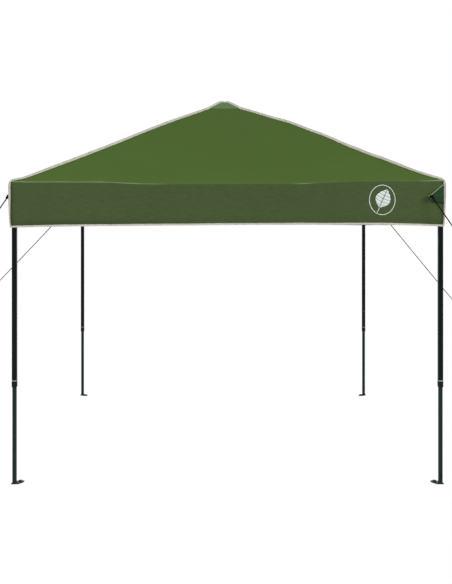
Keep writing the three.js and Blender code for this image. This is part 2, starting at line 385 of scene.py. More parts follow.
def wobble(x, seed=0.0, octaves=4, base=1.0):
    """A smooth repeatable wander of about -1 to 1 along x."""
    x = np.asarray(x, float)
    out, amp, total = np.zeros_like(x), 1.0, 0.0
    for i in range(octaves):
        w = base * (1.9**i)
        out = out + amp * np.sin(w * x + 1.7 * i + seed * (2.3 + i))
        total += amp
        amp *= 0.55
    return out / total


def smoothstep(a, b, x):
    t = np.clip((np.asarray(x, float) - a) / (b - a), 0, 1)
    return t * t * (3 - 2 * t)


# ---- Materials ----
def srgb(r, g, b):
    def one(c):
        c /= 255.0
        return c / 12.92 if c <= 0.04045 else ((c + 0.055) / 1.055) ** 2.4

    return (one(r), one(g), one(b), 1.0)


class Mat:
    """A Principled material with a few short ways to add nodes."""

    def __init__(self, name, **sockets):
        self.m = bpy.data.materials.new(name)
        self.m.use_nodes = True
        self.nt = self.m.node_tree
        self.b = self.nt.nodes["Principled BSDF"]
        for k, v in sockets.items():
            self.b.inputs[k.replace("_", " ")].default_value = v

    def node(self, kind, **values):
        n = self.nt.nodes.new(kind)
        for k, v in values.items():
            if k in n.inputs:
                n.inputs[k].default_value = v
            else:
                setattr(n, k, v)
        return n

    def link(self, a, b):
        self.nt.links.new(a, b)

    def coords(self, kind="Object"):
        return self.node("ShaderNodeTexCoord").outputs[kind]

    def noise(self, vector, scale, detail=3.0, rough=0.55):
        n = self.node("ShaderNodeTexNoise")
        n.inputs["Scale"].default_value = scale
        n.inputs["Detail"].default_value = detail
        n.inputs["Roughness"].default_value = rough
        self.link(vector, n.inputs["Vector"])
        return n.outputs["Fac"]

    def math(self, op, a, b=None, clamp=False):
        n = self.node("ShaderNodeMath")
        n.operation = op
        n.use_clamp = clamp
        for i, x in enumerate([a, b]):
            if x is None:
                continue
            if isinstance(x, (int, float)):
                n.inputs[i].default_value = x
            else:
                self.link(x, n.inputs[i])
        return n.outputs[0]

    def ramp(self, fac, stops):
        n = self.node("ShaderNodeValToRGB")
        e = n.color_ramp.elements
        while len(e) < len(stops):
            e.new(0.5)
        for el, (p, c) in zip(e, stops):
            el.position, el.color = p, c
        self.link(fac, n.inputs["Fac"])
        return n.outputs["Color"]

    def mix(self, fac, a, b, blend="MIX"):
        n = self.node("ShaderNodeMix")
        n.data_type = "RGBA"
        n.blend_type = blend
        for key, x in (("Factor", fac), ("A", a), ("B", b)):
            s = next(
                i
                for i in n.inputs
                if i.name == key and (i.type == "VALUE" if key == "Factor" else i.type == "RGBA")
            )
            if isinstance(x, (int, float)):
                s.default_value = x
            elif isinstance(x, (tuple, list)):
                s.default_value = x
            else:
                self.link(x, s)
        return next(o for o in n.outputs if o.type == "RGBA")

    def colour(self, socket):
        self.link(socket, self.b.inputs["Base Color"])

    def rough(self, socket):
        self.link(socket, self.b.inputs["Roughness"])

    def bump(self, height, strength=0.3, distance=0.001):
        n = self.node("ShaderNodeBump")
        n.inputs["Strength"].default_value = strength
        n.inputs["Distance"].default_value = distance
        self.link(height, n.inputs["Height"])
        self.link(n.outputs["Normal"], self.b.inputs["Normal"])


def scaled(c, k):
    return tuple(min(1.0, x * k) for x in c[:3]) + (1.0,)


def cloth(name, colour, rough=0.86, weave=900.0, painted_shade_and_highlight=None, crinkle=0.0):
    """Plain-weave coated polyester: fine crossing threads, faint mottling and creases."""
    m = Mat(name, Roughness=rough)
    m.b.inputs["Specular IOR Level"].default_value = 0.10
    p = m.coords("Object")
    uv = m.coords("UV")
    sep = m.node("ShaderNodeSeparateXYZ")
    m.link(uv, sep.inputs[0])
    warp = m.math("SINE", m.math("MULTIPLY", sep.outputs[0], weave * 2 * math.pi / 2))
    weft = m.math("SINE", m.math("MULTIPLY", sep.outputs[1], weave * 2 * math.pi / 2))
    threads = m.math("MULTIPLY", warp, weft)
    grain = m.noise(p, 190.0, 2.0, 0.6)
    cloud = m.noise(p, 2.3, 3.0, 0.5)
    tone = m.math(
        "ADD",
        m.math("MULTIPLY", m.math("SUBTRACT", grain, 0.5), 0.22),
        m.math("MULTIPLY", m.math("SUBTRACT", cloud, 0.5), 0.16),
    )
    tone = m.math("ADD", tone, m.math("MULTIPLY", threads, 0.03))
    # fine crinkles that run nearly level, where the cloth hangs slack; they are bumped and also painted into the
    # colour as light and dark lines of shade
    level = m.node("ShaderNodeMapping")
    level.inputs["Rotation"].default_value = (0.10, 0.14, 0.0)
    level.inputs["Scale"].default_value = (1.0, 1.0, 3.6)
    m.link(p, level.inputs["Vector"])
    crinkle_bump_and_shade = m.math("SUBTRACT", m.noise(level.outputs[0], 24.0, 4.0, 0.62), 0.5)
    tone = m.math("ADD", tone, m.math("MULTIPLY", crinkle_bump_and_shade, 0.55 * crinkle))
    tone = m.math("ADD", tone, 0.5, clamp=True)
    base = m.ramp(tone, [(0.30, scaled(colour, 0.84)), (0.70, scaled(colour, 1.17))])
    # painted shade on the roof and valance, and a painted highlight on the eave seam, mixed in by a point attribute
    if painted_shade_and_highlight is not None:
        at = m.node("ShaderNodeAttribute")
        at.attribute_name = "painted_shade_and_highlight"
        base = m.mix(at.outputs["Fac"], base, painted_shade_and_highlight)
    m.colour(base)
    m.rough(m.math("ADD", m.math("MULTIPLY", grain, 0.12), rough - 0.06))
    crease = m.noise(p, 7.0, 4.0, 0.6)
    m.bump(
        m.math(
            "ADD",
            m.math("MULTIPLY", threads, 0.12),
            m.math(
                "ADD",
                m.math("MULTIPLY", crinkle_bump_and_shade, 1.6 * crinkle),
                m.math(
                    "ADD", m.math("MULTIPLY", grain, 0.25), m.math("MULTIPLY", crease, 2.2)
                ),
            ),
        ),
        0.35,
        0.0012,
    )
    return m.m


def tape(name, colour, stitch=None):
    """Woven binding tape: ribs across it, with a line of stitches where it is sewn down."""
    m = Mat(name, Roughness=0.85)
    m.b.inputs["Specular IOR Level"].default_value = 0.15
    p, uv = m.coords("Object"), m.coords("UV")
    sep = m.node("ShaderNodeSeparateXYZ")
    m.link(uv, sep.inputs[0])
    ribs = m.math("SINE", m.math("MULTIPLY", sep.outputs[0], 2 * math.pi / 0.0016))
    soil = m.noise(p, 26.0, 4.0, 0.6)
    base = m.ramp(
        soil, [(0.32, scaled(colour, 0.84)), (0.62, scaled(colour, 1.04))]
    )
    if stitch is not None:
        dash = m.math(
            "GREATER_THAN",
            m.math("SINE", m.math("MULTIPLY", sep.outputs[0], 2 * math.pi / 0.0055)),
            -0.35,
        )
        at = m.node("ShaderNodeAttribute")
        at.attribute_name = "stitch"
        base = m.mix(m.math("MULTIPLY", at.outputs["Fac"], dash), base, stitch)
    m.colour(base)
    m.bump(
        m.math("ADD", m.math("MULTIPLY", ribs, 0.4), m.math("MULTIPLY", soil, 0.7)),
        0.4,
        0.0004,
    )
    return m.m


def painted(name, colour, rough=0.36, worn=0.10):
    """Powder-coated steel: fine orange peel, small scuffs that show a paler undercoat."""
    m = Mat(name, Roughness=rough)
    m.b.inputs["Specular IOR Level"].default_value = 0.36
    m.b.inputs["Specular Tint"].default_value = (0.80, 1.0, 0.98, 1.0)
    p = m.coords("Object")
    stretch = m.node("ShaderNodeMapping")
    stretch.inputs["Scale"].default_value = (1.0, 1.0, 0.10)
    m.link(p, stretch.inputs["Vector"])
    peel = m.noise(p, 900.0, 2.0, 0.5)
    streak = m.noise(stretch.outputs[0], 120.0, 4.0, 0.7)
    scuff = m.noise(stretch.outputs[0], 38.0, 6.0, 0.75)
    mask = m.math(
        "MULTIPLY",
        m.math("GREATER_THAN", scuff, 0.74),
        m.math("SUBTRACT", streak, 0.30, clamp=True),
    )
    base = m.ramp(streak, [(0.3, scaled(colour, 0.92)), (0.7, scaled(colour, 1.10))])
    base = m.mix(m.math("MULTIPLY", mask, worn), base, scaled(colour, 3.2))
    m.colour(base)
    m.rough(m.math("ADD", m.math("MULTIPLY", streak, 0.14), rough - 0.07))
    m.bump(peel, 0.02, 0.0002)
    return m.m


def moulded(name, colour, rough=0.5):
    """Injection-moulded plastic with a spark-eroded grain."""
    m = Mat(name, Roughness=rough)
    m.b.inputs["Specular IOR Level"].default_value = 0.35
    p = m.coords("Object")
    grain = m.noise(p, 1400.0, 2.0, 0.5)
    tone = m.noise(p, 60.0, 4.0, 0.6)
    m.colour(m.ramp(tone, [(0.3, scaled(colour, 0.82)), (0.7, scaled(colour, 1.25))]))
    m.rough(m.math("ADD", m.math("MULTIPLY", tone, 0.16), rough - 0.08))
    m.bump(grain, 0.2, 0.0002)
    return m.m


def plated(name, colour, rough=0.3):
    m = Mat(name, Metallic=1.0, Roughness=rough)
    p = m.coords("Object")
    tone = m.noise(p, 240.0, 4.0, 0.6)
    m.colour(m.ramp(tone, [(0.3, scaled(colour, 0.75)), (0.7, scaled(colour, 1.1))]))
    m.rough(m.math("ADD", m.math("MULTIPLY", tone, 0.3), rough - 0.12))
    m.bump(tone, 0.1, 0.0002)
    return m.m


def cordage(name, colour):
    m = Mat(name, Roughness=0.85)
    m.b.inputs["Specular IOR Level"].default_value = 0.2
    p = m.coords("Object")
    fibre = m.noise(p, 1500.0, 3.0, 0.7)
    m.colour(m.ramp(fibre, [(0.35, scaled(colour, 0.6)), (0.68, scaled(colour, 1.9))]))
    m.bump(fibre, 0.4, 0.0003)
    return m.m


ROOF_GREEN = srgb(69, 93, 38)
VALANCE_GREEN = srgb(76, 92, 56)
# the darker second colours of the roof and valance are painted shade, placed by the canopy's point attribute
MAT_ROOF = cloth("canopy_roof_cloth", ROOF_GREEN, painted_shade_and_highlight=srgb(50, 72, 30))
MAT_VALANCE = cloth("canopy_valance_cloth", VALANCE_GREEN, painted_shade_and_highlight=srgb(38, 56, 26), crinkle=1.0)
MAT_PATCH = cloth("apex_patch_cloth", srgb(90, 118, 78))
MAT_GUSSET = cloth("gusset_cloth", srgb(40, 68, 38), rough=0.6)
# a painted highlight for the upper edge of each tab's rolled hem
MAT_ROLL_HIGHLIGHT = cloth("tab_roll_painted_highlight", srgb(128, 160, 112), rough=0.6)
MAT_TAPE = tape("edging_tape", srgb(240, 237, 230), stitch=srgb(158, 140, 124))
MAT_BEAD = tape("edging_bead", srgb(186, 182, 170))
# the eave seam's pale second colour is a painted highlight
MAT_EAVE = cloth("eave_seam_cloth", srgb(78, 102, 50), painted_shade_and_highlight=srgb(160, 188, 146))
MAT_EMBLEM = cloth("emblem_print", srgb(232, 244, 238), rough=0.6)
MAT_ROPE = cordage("rope_fibre", srgb(12, 12, 13))
MAT_OUTER = painted("outer_tube_paint", srgb(6, 14, 14), 0.26)
MAT_INNER = painted("inner_tube_paint", srgb(31, 45, 44), 0.34)
MAT_BAR = painted("truss_bar_paint", srgb(30, 36, 37), 0.36)
MAT_POLE = painted("peak_tube_paint", srgb(26, 30, 32), 0.34)
MAT_MOULD = moulded("black_moulding", srgb(17, 18, 19))
MAT_KNOB = moulded("pull_knob_plastic", srgb(52, 54, 55), 0.42)
MAT_RING = moulded("collar_ring", srgb(190, 196, 194), 0.45)
MAT_ZINC = plated("zinc_plate", srgb(190, 194, 196))
MAT_PIN = plated("rivet_steel", srgb(120, 124, 126), 0.38)

# ---- Guy ropes ----
ROPES = {
    "front_right": ((1.343, -1.472, 1.8976), (1.4952, -1.570, 1.6375), 0.0006),
    "front_left": ((-1.472, -1.343, 1.9055), (-1.6069, -1.440, 1.6755), 0.0005),
    "rear_left": ((-1.462, 1.360, 1.966), (-2.435, 1.909, 1.0505), 0.006),
    "rear_right": ((1.466, 1.360, 1.966), (2.5017, 1.888, 0.8428), 0.006),
}


def rope_line(a, b, sag, n):
    t = np.linspace(0, 1, n)[:, None]
    a, b = np.array(a), np.array(b)
    p = a + (b - a) * t
    p[:, 2] -= (4 * sag * t * (1 - t))[:, 0]
    return p


def frames_along(p):
    """A tangent and two directions across it at each point, turning as little as they can."""
    t = np.gradient(p, axis=0)
    t /= np.linalg.norm(t, axis=1)[:, None]
    u = np.zeros_like(p)
    ref = np.array([0.0, 0.0, 1.0]) if abs(t[0][2]) < 0.9 else np.array([1.0, 0, 0])
    prev = np.cross(t[0], ref)
    for i in range(len(p)):
        prev = prev - t[i] * np.dot(prev, t[i])
        prev /= np.linalg.norm(prev)
        u[i] = prev
    return t, u, np.cross(t, u)


def strand_tube(p, radius, pitch=0.030, strands=3, sides=12, closed=False):
    """A laid rope: a tube whose surface is ridged by its twisted strands."""
    t, u, w = frames_along(p)
    length = np.concatenate(
        [[0], np.cumsum(np.linalg.norm(np.diff(p, axis=0), axis=1))]
    )
    ang = np.arange(sides) * 2 * math.pi / sides
    v = np.zeros((len(p), sides, 3))
    for i in range(len(p)):
        twist = 2 * math.pi * length[i] / pitch / strands * strands
        lobes = np.abs(np.cos(0.5 * strands * (ang - twist / strands)))
        r = radius * (0.84 + 0.2 * lobes)
        v[i] = (
            p[i]
            + (r * np.cos(ang))[:, None] * u[i]
            + (r * np.sin(ang))[:, None] * w[i]
        )
    s = Shape()
    faces = grid_faces(len(p), sides, close_cols=True)
    uv = []
    for i in range(len(p) - 1):
        for j in range(sides):
            uv.append(
                [
                    (length[i], j / sides * 0.0125),
                    (length[i], (j + 1) / sides * 0.0125),
                    (length[i + 1], (j + 1) / sides * 0.0125),
                    (length[i + 1], j / sides * 0.0125),
                ]
            )
    if not closed:
        faces += [
            list(range(sides))[::-1],
            [(len(p) - 1) * sides + j for j in range(sides)],
        ]
        uv += [[(0, 0)] * sides] * 2
    s.add(v.reshape(-1, 3), faces, 0, uv)
    return s


def knot(at, along, size, radius, seed=0.0):
    """An overhand knot pulled tight: a trefoil of the same rope, flattened along the rope."""
    n = 96
    t = np.linspace(0, 2 * math.pi, n + 1)[:-1]
    x = np.sin(t) + 2 * np.sin(2 * t)
    y = np.cos(t) - 2 * np.cos(2 * t)
    z = -np.sin(3 * t)
    p = np.stack([x, y, z * 1.25], 1) * size / 3.0
    d = np.array(along, float)
    d /= np.linalg.norm(d)
    a = np.cross(d, [0.3, 0.2, 1.0])
    a /= np.linalg.norm(a)
    b = np.cross(d, a)
    ca, sa = math.cos(seed), math.sin(seed)
    a, b = ca * a + sa * b, -sa * a + ca * b
    # the knot's flat plane holds the rope's direction, as a tightened overhand knot does
    p = p[:, :1] * d + p[:, 1:2] * a + p[:, 2:3] * b + np.array(at)
    s = Shape()
    ring = np.vstack([p, p[:1]])
    tube = strand_tube(ring, radius, closed=True)
    return s.merge(tube)


def loop(start, along, down, radius, drop=0.030, width=0.009):
    """A small open loop at a rope's far end, closed back at the knot."""
    d = np.array(along, float)
    d /= np.linalg.norm(d)
    a = np.cross(d, down)
    a /= np.linalg.norm(a)
    n = 60
    t = np.linspace(0, 2 * math.pi, n + 1)
    p = (
        np.array(start)
        + d * (drop / 2 * (1 - np.cos(t)))[:, None]
        + a * (width * np.sin(t) * (0.75 - 0.25 * np.cos(t)))[:, None]
    )
    return strand_tube(p, radius, closed=True)


ROPE_PIECES = {}
for corner, (a, b, sag) in ROPES.items():
    length = np.linalg.norm(np.array(b) - np.array(a))
    line = rope_line(a, b, sag, max(60, int(length / 0.0035)))
    rope = strand_tube(line, ROPE_D / 2).object("guy_rope_line_" + corner, MAT_ROPE, smooth=60)
    out = (line[-1] - line[-2]) / np.linalg.norm(line[-1] - line[-2])
    first = (line[1] - line[0]) / np.linalg.norm(line[1] - line[0])
    end = knot(line[-1], out, 0.0105, 0.0037, 0.6)
    end.merge(loop(line[-1] + out * 0.008, out, (0, 0, 1), 0.0036, 0.056, 0.013))
    end = end.object("guy_rope_end_" + corner, MAT_ROPE, smooth=60)
    near = knot(line[0] + first * 0.002, first, 0.0145, 0.0048, 0.2).object(
        "guy_rope_knot_" + corner, MAT_ROPE, smooth=60
    )
    for piece in (rope, end, near):
        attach(piece, "leg_outer_" + corner)
    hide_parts("guy_rope_" + corner)
    ROPE_PIECES[corner] = (rope, end, near)

# ---- Canopy ----
N_SIDE = 84  # columns on each side
T_ROOF = np.concatenate(
    [
        np.linspace(0.0, 0.088, 6)[1:],
        np.linspace(0.088, 0.97, 46)[1:],
        [0.980, 0.988],
    ]
)


def side_s():
    """Places along a side from -1 to 1, closer together at the corners."""
    w = np.linspace(-1, 1, N_SIDE + 1)
    return 0.80 * w + 0.20 * np.sin(w * math.pi / 2)


# Each hip's height above a straight line, at several half-widths.
HIP_H = [0.0, 0.12, 0.20, 0.30, 0.38, 0.48, 0.57, 0.65, 0.73, 0.81, 0.88, 0.96, 1.03, 1.10, 1.17, 1.24, 1.30, 1.37, 1.44]
HIPS = [
    # front right
    [0, 0, 8, 16, 19, 31, 30, 27, 29, 22, 14, 9, 3, 4, -3, -7, -9, -6, 0],
    # rear right
    [0, 2, 5, 8, 11, 14, 16, 15, 12, 10, 8, 7, 4, 1, -2, -5, -6, -4, 0],
    # rear left
    [0, 3, 6, 7, 8, 10, 13, 14, 12, 9, 7, 5, 4, 2, -1, -4, -5, -4, 0],
    # front left
    [0, 2, 3, 6, 9, 9, 8, 7, 3, 0, -2, -5, -8, -10, -12, -14, -16, -14, -5],
]
HIP_FINE = np.linspace(0, 1.44, 289)
HIP_TABLE = []
for row in HIPS:
    fine = np.interp(HIP_FINE, HIP_H, row)
    kernel = np.exp(-np.linspace(-2.2, 2.2, 23) ** 2)
    padded = np.concatenate([np.full(11, fine[0]), fine, np.full(11, fine[-1])])
    HIP_TABLE.append(np.convolve(padded, kernel / kernel.sum(), "valid") / 1000)


def hip_lift(corner, h):
    """How far each hip's line stands above a straight one."""
    return np.interp(np.asarray(h, float), HIP_FINE, HIP_TABLE[corner])


def eave_lift(k, s):
    """The eave's height above its level, along side k."""
    s = np.asarray(s, float)
    ends = 0.014 * smoothstep(0.30, 0.62, np.abs(s))
    lean = {0: 0.0045, 1: 0.001, 2: 0.0, 3: -0.002}[k]
    return (
        ends
        + lean * s
        + (1 - np.abs(s) ** 6) * 0.0020 * wobble(s * 9.0, seed=k + 1.0)
        + corner_level(k, s)
    )


CORNER_UP = [0.0075, 0.004, 0.003, 0.0005]  # by corner, as CORNERS


def corner_level(k, s):
    left, right = CORNER_UP[(k + 3) % 4], CORNER_UP[k % 4]
    s = np.asarray(s, float)
    lean = {0: 0.0045, 1: 0.001, 2: 0.0, 3: -0.002}[k]
    w = np.abs(s) ** 10
    return np.where(s > 0, (right - lean) * w, (left + lean) * w)


def roof_line(h):
    """The hip's height at half-width h, before the lift."""
    h = np.asarray(h, float)
    z_cap = 2.6605
    soft = 0.030
    peak = Z_APEX - (np.sqrt(h**2 + soft**2) - soft) * (
        (Z_APEX - z_cap) / (math.hypot(CAP_HALF, soft) - soft)
    )
    z_e = 1.987
    low = z_cap - (h - CAP_HALF) * (z_cap - z_e) / (CLOTH_EAVE - CAP_HALF)
    return np.where(h < CAP_HALF, np.maximum(peak, z_cap + 0.0), low)


def plan(a, d, rho):
    """Rounds the plan's corner: a runs along the side and d outwards."""
    lim = d - rho
    over = np.clip((np.abs(a) - lim) / np.maximum(rho, 1e-9), 0, 1)
    w = over * math.pi / 4
    a2 = np.where(over > 0, np.sign(a) * (lim + rho * np.sin(w)), a)
    d2 = np.where(over > 0, lim + rho * np.cos(w), d)
    return a2, d2


def roof_point(k, s, t):
    s, t = np.asarray(s, float), np.asarray(t, float)
    h = CLOTH_EAVE * t
    rho = CLOTH_ROUND * smoothstep(0.90, 1.0, t)
    a, d = plan(s * h, h, np.maximum(rho, 1e-6))
    left, right = hip_lift((k + 3) % 4, h), hip_lift(k % 4, h)
    ws = (1 + s) / 2
    lift = left * (1 - ws) + right * ws
    flat = (1 - s**2) * (1 - 0.25 * s**2)
    sag = 0.030 * flat * np.sin(math.pi * np.clip(t, 0, 1) ** 1.35) ** 1.0
    # pulls that fan out from the corners, and soft hollows between the struts
    r_corner = np.minimum(
        np.hypot(a - h.clip(0.4), d - CLOTH_EAVE), np.hypot(a + h.clip(0.4), d - CLOTH_EAVE)
    )
    pull = (
        0.0022
        * np.exp(-((r_corner / 0.40) ** 2))
        * np.sin(26.0 * np.arctan2(CLOTH_EAVE - d + 0.02, np.abs(CLOTH_EAVE - np.abs(a)) + 0.02))
        * (1 - s**8)
    )
    wave = 0.0030 * wobble(a * 5.0 + k * 3.1, 0.4 + k) * wobble(
        d * 6.0 + 1.0, 1.1 + k
    ) * flat * smoothstep(0.1, 0.3, t)
    z = (
        roof_line(h)
        + lift * (1 - smoothstep(0.95, 1.0, t))
        - sag
        + pull * smoothstep(0.3, 0.6, t)
        + wave * (1 - smoothstep(0.94, 1.0, t))
        + eave_lift(k, s) * smoothstep(0.55, 1.0, t)
    )
    return np.stack([a + CLOTH_SHIFT * 0, -d, z], -1)


HEM_S = [-1.0, -0.94, -0.83, -0.59, -0.31, -0.1, 0.10, 0.33, 0.565, 0.75, 0.91, 1.0]
HEMS = [
    [1698, 1699.5, 1703.5, 1708, 1710.5, 1713.5, 1716, 1716.5, 1717.5, 1717, 1710, 1705],
    [1705, 1706, 1708, 1709, 1710, 1711, 1710, 1709.5, 1709, 1708, 1706, 1704],
    [1704, 1706, 1708.5, 1710, 1711, 1711, 1712, 1711, 1710, 1709, 1707, 1703],
    [1703, 1704, 1706, 1708, 1709, 1710, 1710, 1709, 1707, 1703, 1700, 1698],
]


def hem_z(k, s):
    s = np.asarray(s, float)
    return np.interp(s, HEM_S, HEMS[k]) / 1000 + 0.0008 * wobble(s * 11.0, 2.0 + k) * (
        1 - s**6
    )


def valance_point(k, s, v):
    """v runs from 0 at the eave to 1 at the hem."""
    s, v = np.asarray(s, float), np.asarray(v, float)
    half = CLOTH_EAVE + (CLOTH_HEM - CLOTH_EAVE) * smoothstep(0.86, 1.0, v)
    inset = 0.0035 * np.sin(math.pi * v) * (1 - s**6)
    flute = (
        (0.0035 * wobble(s * 13.0 + 0.8 * v, 3.0 + k, 3) + 0.0012 * wobble(s * 41.0, 5.0 + k, 2))
        * v
        * (1 - np.abs(s) ** 8)
    )
    tuck = 0.0016 * np.sin(s * 90.0 + 2.0 * wobble(s * 7.0, 1.0)) * np.exp(
        -((v / 0.10) ** 2)
    ) * (1 - np.abs(s) ** 10)
    d0 = half
    a, d = plan(s * half, d0, np.full_like(s * v, CLOTH_ROUND))
    d = d - inset + flute + tuck
    z_top = 1.987 + eave_lift(k, s)
    z = z_top + (hem_z(k, s) - z_top) * v
    return np.stack([a, -d, z], -1)


V_ROWS = np.concatenate(
    [[0.012 / 0.28, 0.030 / 0.28, 0.055 / 0.28], np.linspace(0.30, 0.94, 8), [1.0]]
)


def canopy_rings():
    """Every ring of the cloth from the apex to the hem, as (kind, points[4 * N_SIDE])."""
    s = side_s()[:-1]
    rings = []
    for t in T_ROOF:
        rings.append(
            (t, np.concatenate([turn(roof_point(k, s, np.full_like(s, t)), k) for k in range(4)]))
        )
    # a rounded turn over the eave
    a = np.concatenate(
        [turn(roof_point(k, s, np.full_like(s, 0.992)), k) for k in range(4)]
    )
    e = np.concatenate([turn(roof_point(k, s, np.full_like(s, 1.0)), k) for k in range(4)])
    b = np.concatenate(
        [turn(valance_point(k, s, np.full_like(s, 0.010 / 0.28)), k) for k in range(4)]
    )
    for tau in (0.0, 0.2, 0.4, 0.6, 0.8, 1.0):
        q = (1 - tau) ** 2 * a + 2 * tau * (1 - tau) * e + tau**2 * b
        rings.append((0.992 + 0.008 * tau if tau < 0.5 else 1.0 + 0.01 * tau, q))
    for v in V_ROWS:
        rings.append(
            (1.0 + v, np.concatenate([turn(valance_point(k, s, np.full_like(s, v)), k) for k in range(4)]))
        )
    return rings


RINGS = canopy_rings()
for _, ring_points in RINGS:
    ring_points[:, 0] += CLOTH_SHIFT * np.clip(
        np.abs(ring_points).max(1) / CLOTH_EAVE, 0, 1
    )


def make_canopy():
    n = 4 * N_SIDE
    pts = [p for _, p in RINGS]
    apex = np.array([[0.0, 0.0, Z_APEX]])
    v = np.concatenate([apex] + pts)
    faces, mats, uvs = [], [], []
    s = side_s()
    run = np.zeros(len(RINGS) + 1)
    mid = N_SIDE // 2
    prev = apex[0]
    for i, (_, p) in enumerate(RINGS):
        run[i + 1] = run[i] + np.linalg.norm(p[mid] - prev)
        prev = p[mid]

    def uv_at(row, k, j):
        if row < 0:
            return (0.0, 0.0)
        t = min(RINGS[row][0], 1.0)
        return (s[j] * CLOTH_EAVE * t, run[row + 1])

    for j in range(n):
        k, jj = divmod(j, N_SIDE)
        a, b = 1 + j, 1 + (j + 1) % n
        faces.append([0, a, b])
        mats.append(0)
        uvs.append([uv_at(-1, k, jj), uv_at(0, k, jj), uv_at(0, k, jj + 1)])
    for r in range(len(RINGS) - 1):
        valance = RINGS[r][0] >= 1.0
        for j in range(n):
            k, jj = divmod(j, N_SIDE)
            a, b = 1 + r * n + j, 1 + r * n + (j + 1) % n
            faces.append([a, a + n, b + n, b])
            mats.append(1 if valance else 0)
            uvs.append(
                [
                    uv_at(r, k, jj),
                    uv_at(r + 1, k, jj),
                    uv_at(r + 1, k, jj + 1),
                    uv_at(r, k, jj + 1),
                ]
            )
    shape = Shape().add(v, faces, mats, uvs)
    o = shape.object("canopy_cloth", [MAT_ROOF, MAT_VALANCE], smooth=38)
    # darker bands beside the hips and just above the hem, and painted shade darkening the valance's vertical corners
    co = shape.points()
    ax, ay = np.abs(co[:, 0] - CLOTH_SHIFT), np.abs(co[:, 1])
    on_roof = co[:, 2] > 1.975
    near = np.abs(ax - ay)
    painted_shade_and_highlight = np.exp(-((near / 0.010) ** 2)) * 0.85
    low = np.exp(-(((co[:, 2] - 1.722) / 0.006) ** 2)) * 0.3
    # painted shade: the valance darkens towards its vertical corners
    low = np.maximum(
        low, np.exp(-(((CLOTH_EAVE - np.minimum(ax, ay)) / 0.016) ** 2)) * 0.75
    )
    painted_shade_and_highlight = np.where(on_roof, painted_shade_and_highlight, np.maximum(painted_shade_and_highlight, low))
    at = o.data.attributes.new("painted_shade_and_highlight", "FLOAT", "POINT")
    at.data.foreach_set("value", painted_shade_and_highlight.astype(np.float32))
    solid = o.modifiers.new("thickness", "SOLIDIFY")
    solid.thickness, solid.offset = 0.0008, -1.0
    solid.use_rim = True
    return o


canopy = make_canopy()


def ring_corner(c):
    """The cloth's own line at corner c, from near the apex to the hem."""
    i = ((c + 1) * N_SIDE) % (4 * N_SIDE)
    return np.array([p[i] for _, p in RINGS])


def smooth_path(p, step):
    length = np.concatenate([[0], np.cumsum(np.linalg.norm(np.diff(p, axis=0), axis=1))])
    at = np.linspace(0, length[-1], int(length[-1] / step) + 1)
    return np.stack([np.interp(at, length, p[:, i]) for i in range(3)], 1), at


def make_edging(c):
    """The bound seam that runs down hip c and on down the valance's corner."""
    raw = np.vstack([[0.004 * [1, 1, -1, -1][c], 0.004 * [-1, 1, 1, -1][c], Z_APEX], ring_corner(c)])
    path, at = smooth_path(raw, 0.012)
    # soften the turn over the eave
    soft = path.copy()
    for _ in range(3):
        soft[1:-1] = (soft[:-2] + 2 * soft[1:-1] + soft[2:]) / 4
    path = soft
    t = np.gradient(path, axis=0)
    t /= np.linalg.norm(t, axis=1)[:, None]
    out = np.array([[1, -1, 0], [1, 1, 0], [-1, 1, 0], [-1, -1, 0]][c]) / math.sqrt(2)
    side = np.cross(out, [0, 0, 1.0])
    up = np.cross(side, t)
    up /= np.linalg.norm(up, axis=1)[:, None]
    up *= np.sign((up @ (out + np.array([0, 0, 1.0]))))[:, None]
    total = at[-1]
    # it stands highest on the hips and lowest at the hem, and sits down flat at the peak
    fin = 1.0 + 0.09 * wobble(at * 9.0, c + 0.5)
    fin -= 0.32 * smoothstep(total - 0.75, total - 0.34, at)
    fin += 0.10 * smoothstep(total - 0.33, total - 0.27, at)
    fin -= 0.42 * smoothstep(total - 0.22, total - 0.01, at)
    fin *= 0.55 + 0.45 * smoothstep(0.0, 0.03, at)
    lean = 0.0012 * wobble(at * 6.0, c + 2.0)
    path = path + side * lean[:, None]
    sec = [
        (-0.0010, -0.0042),
        (0.0030, -0.0024),
        (0.0100, -0.0017),
        (0.0118, -0.0019),
        (0.0136, -0.0025),
        (0.0152, -0.0014),
        (0.0152, 0.0014),
        (0.0136, 0.0025),
        (0.0118, 0.0019),
        (0.0100, 0.0017),
        (0.0030, 0.0024),
        (-0.0010, 0.0042),
    ]
    mats = [0, 0, 0, 1, 1, 1, 1, 1, 0, 0, 0, 0]
    s = sweep(path, up, np.tile(side, (len(path), 1)), sec, mats, scale=fin)
    o = s.object("edging_" + CORNERS[c], [MAT_TAPE, MAT_BEAD], smooth=50)
    line = np.tile([0.15, 1.0, 0, 0, 0, 0, 0, 0, 0, 0, 1.0, 0.15], len(path))
    at_ = o.data.attributes.new("stitch", "FLOAT", "POINT")
    at_.data.foreach_set("value", line.astype(np.float32))
    return o


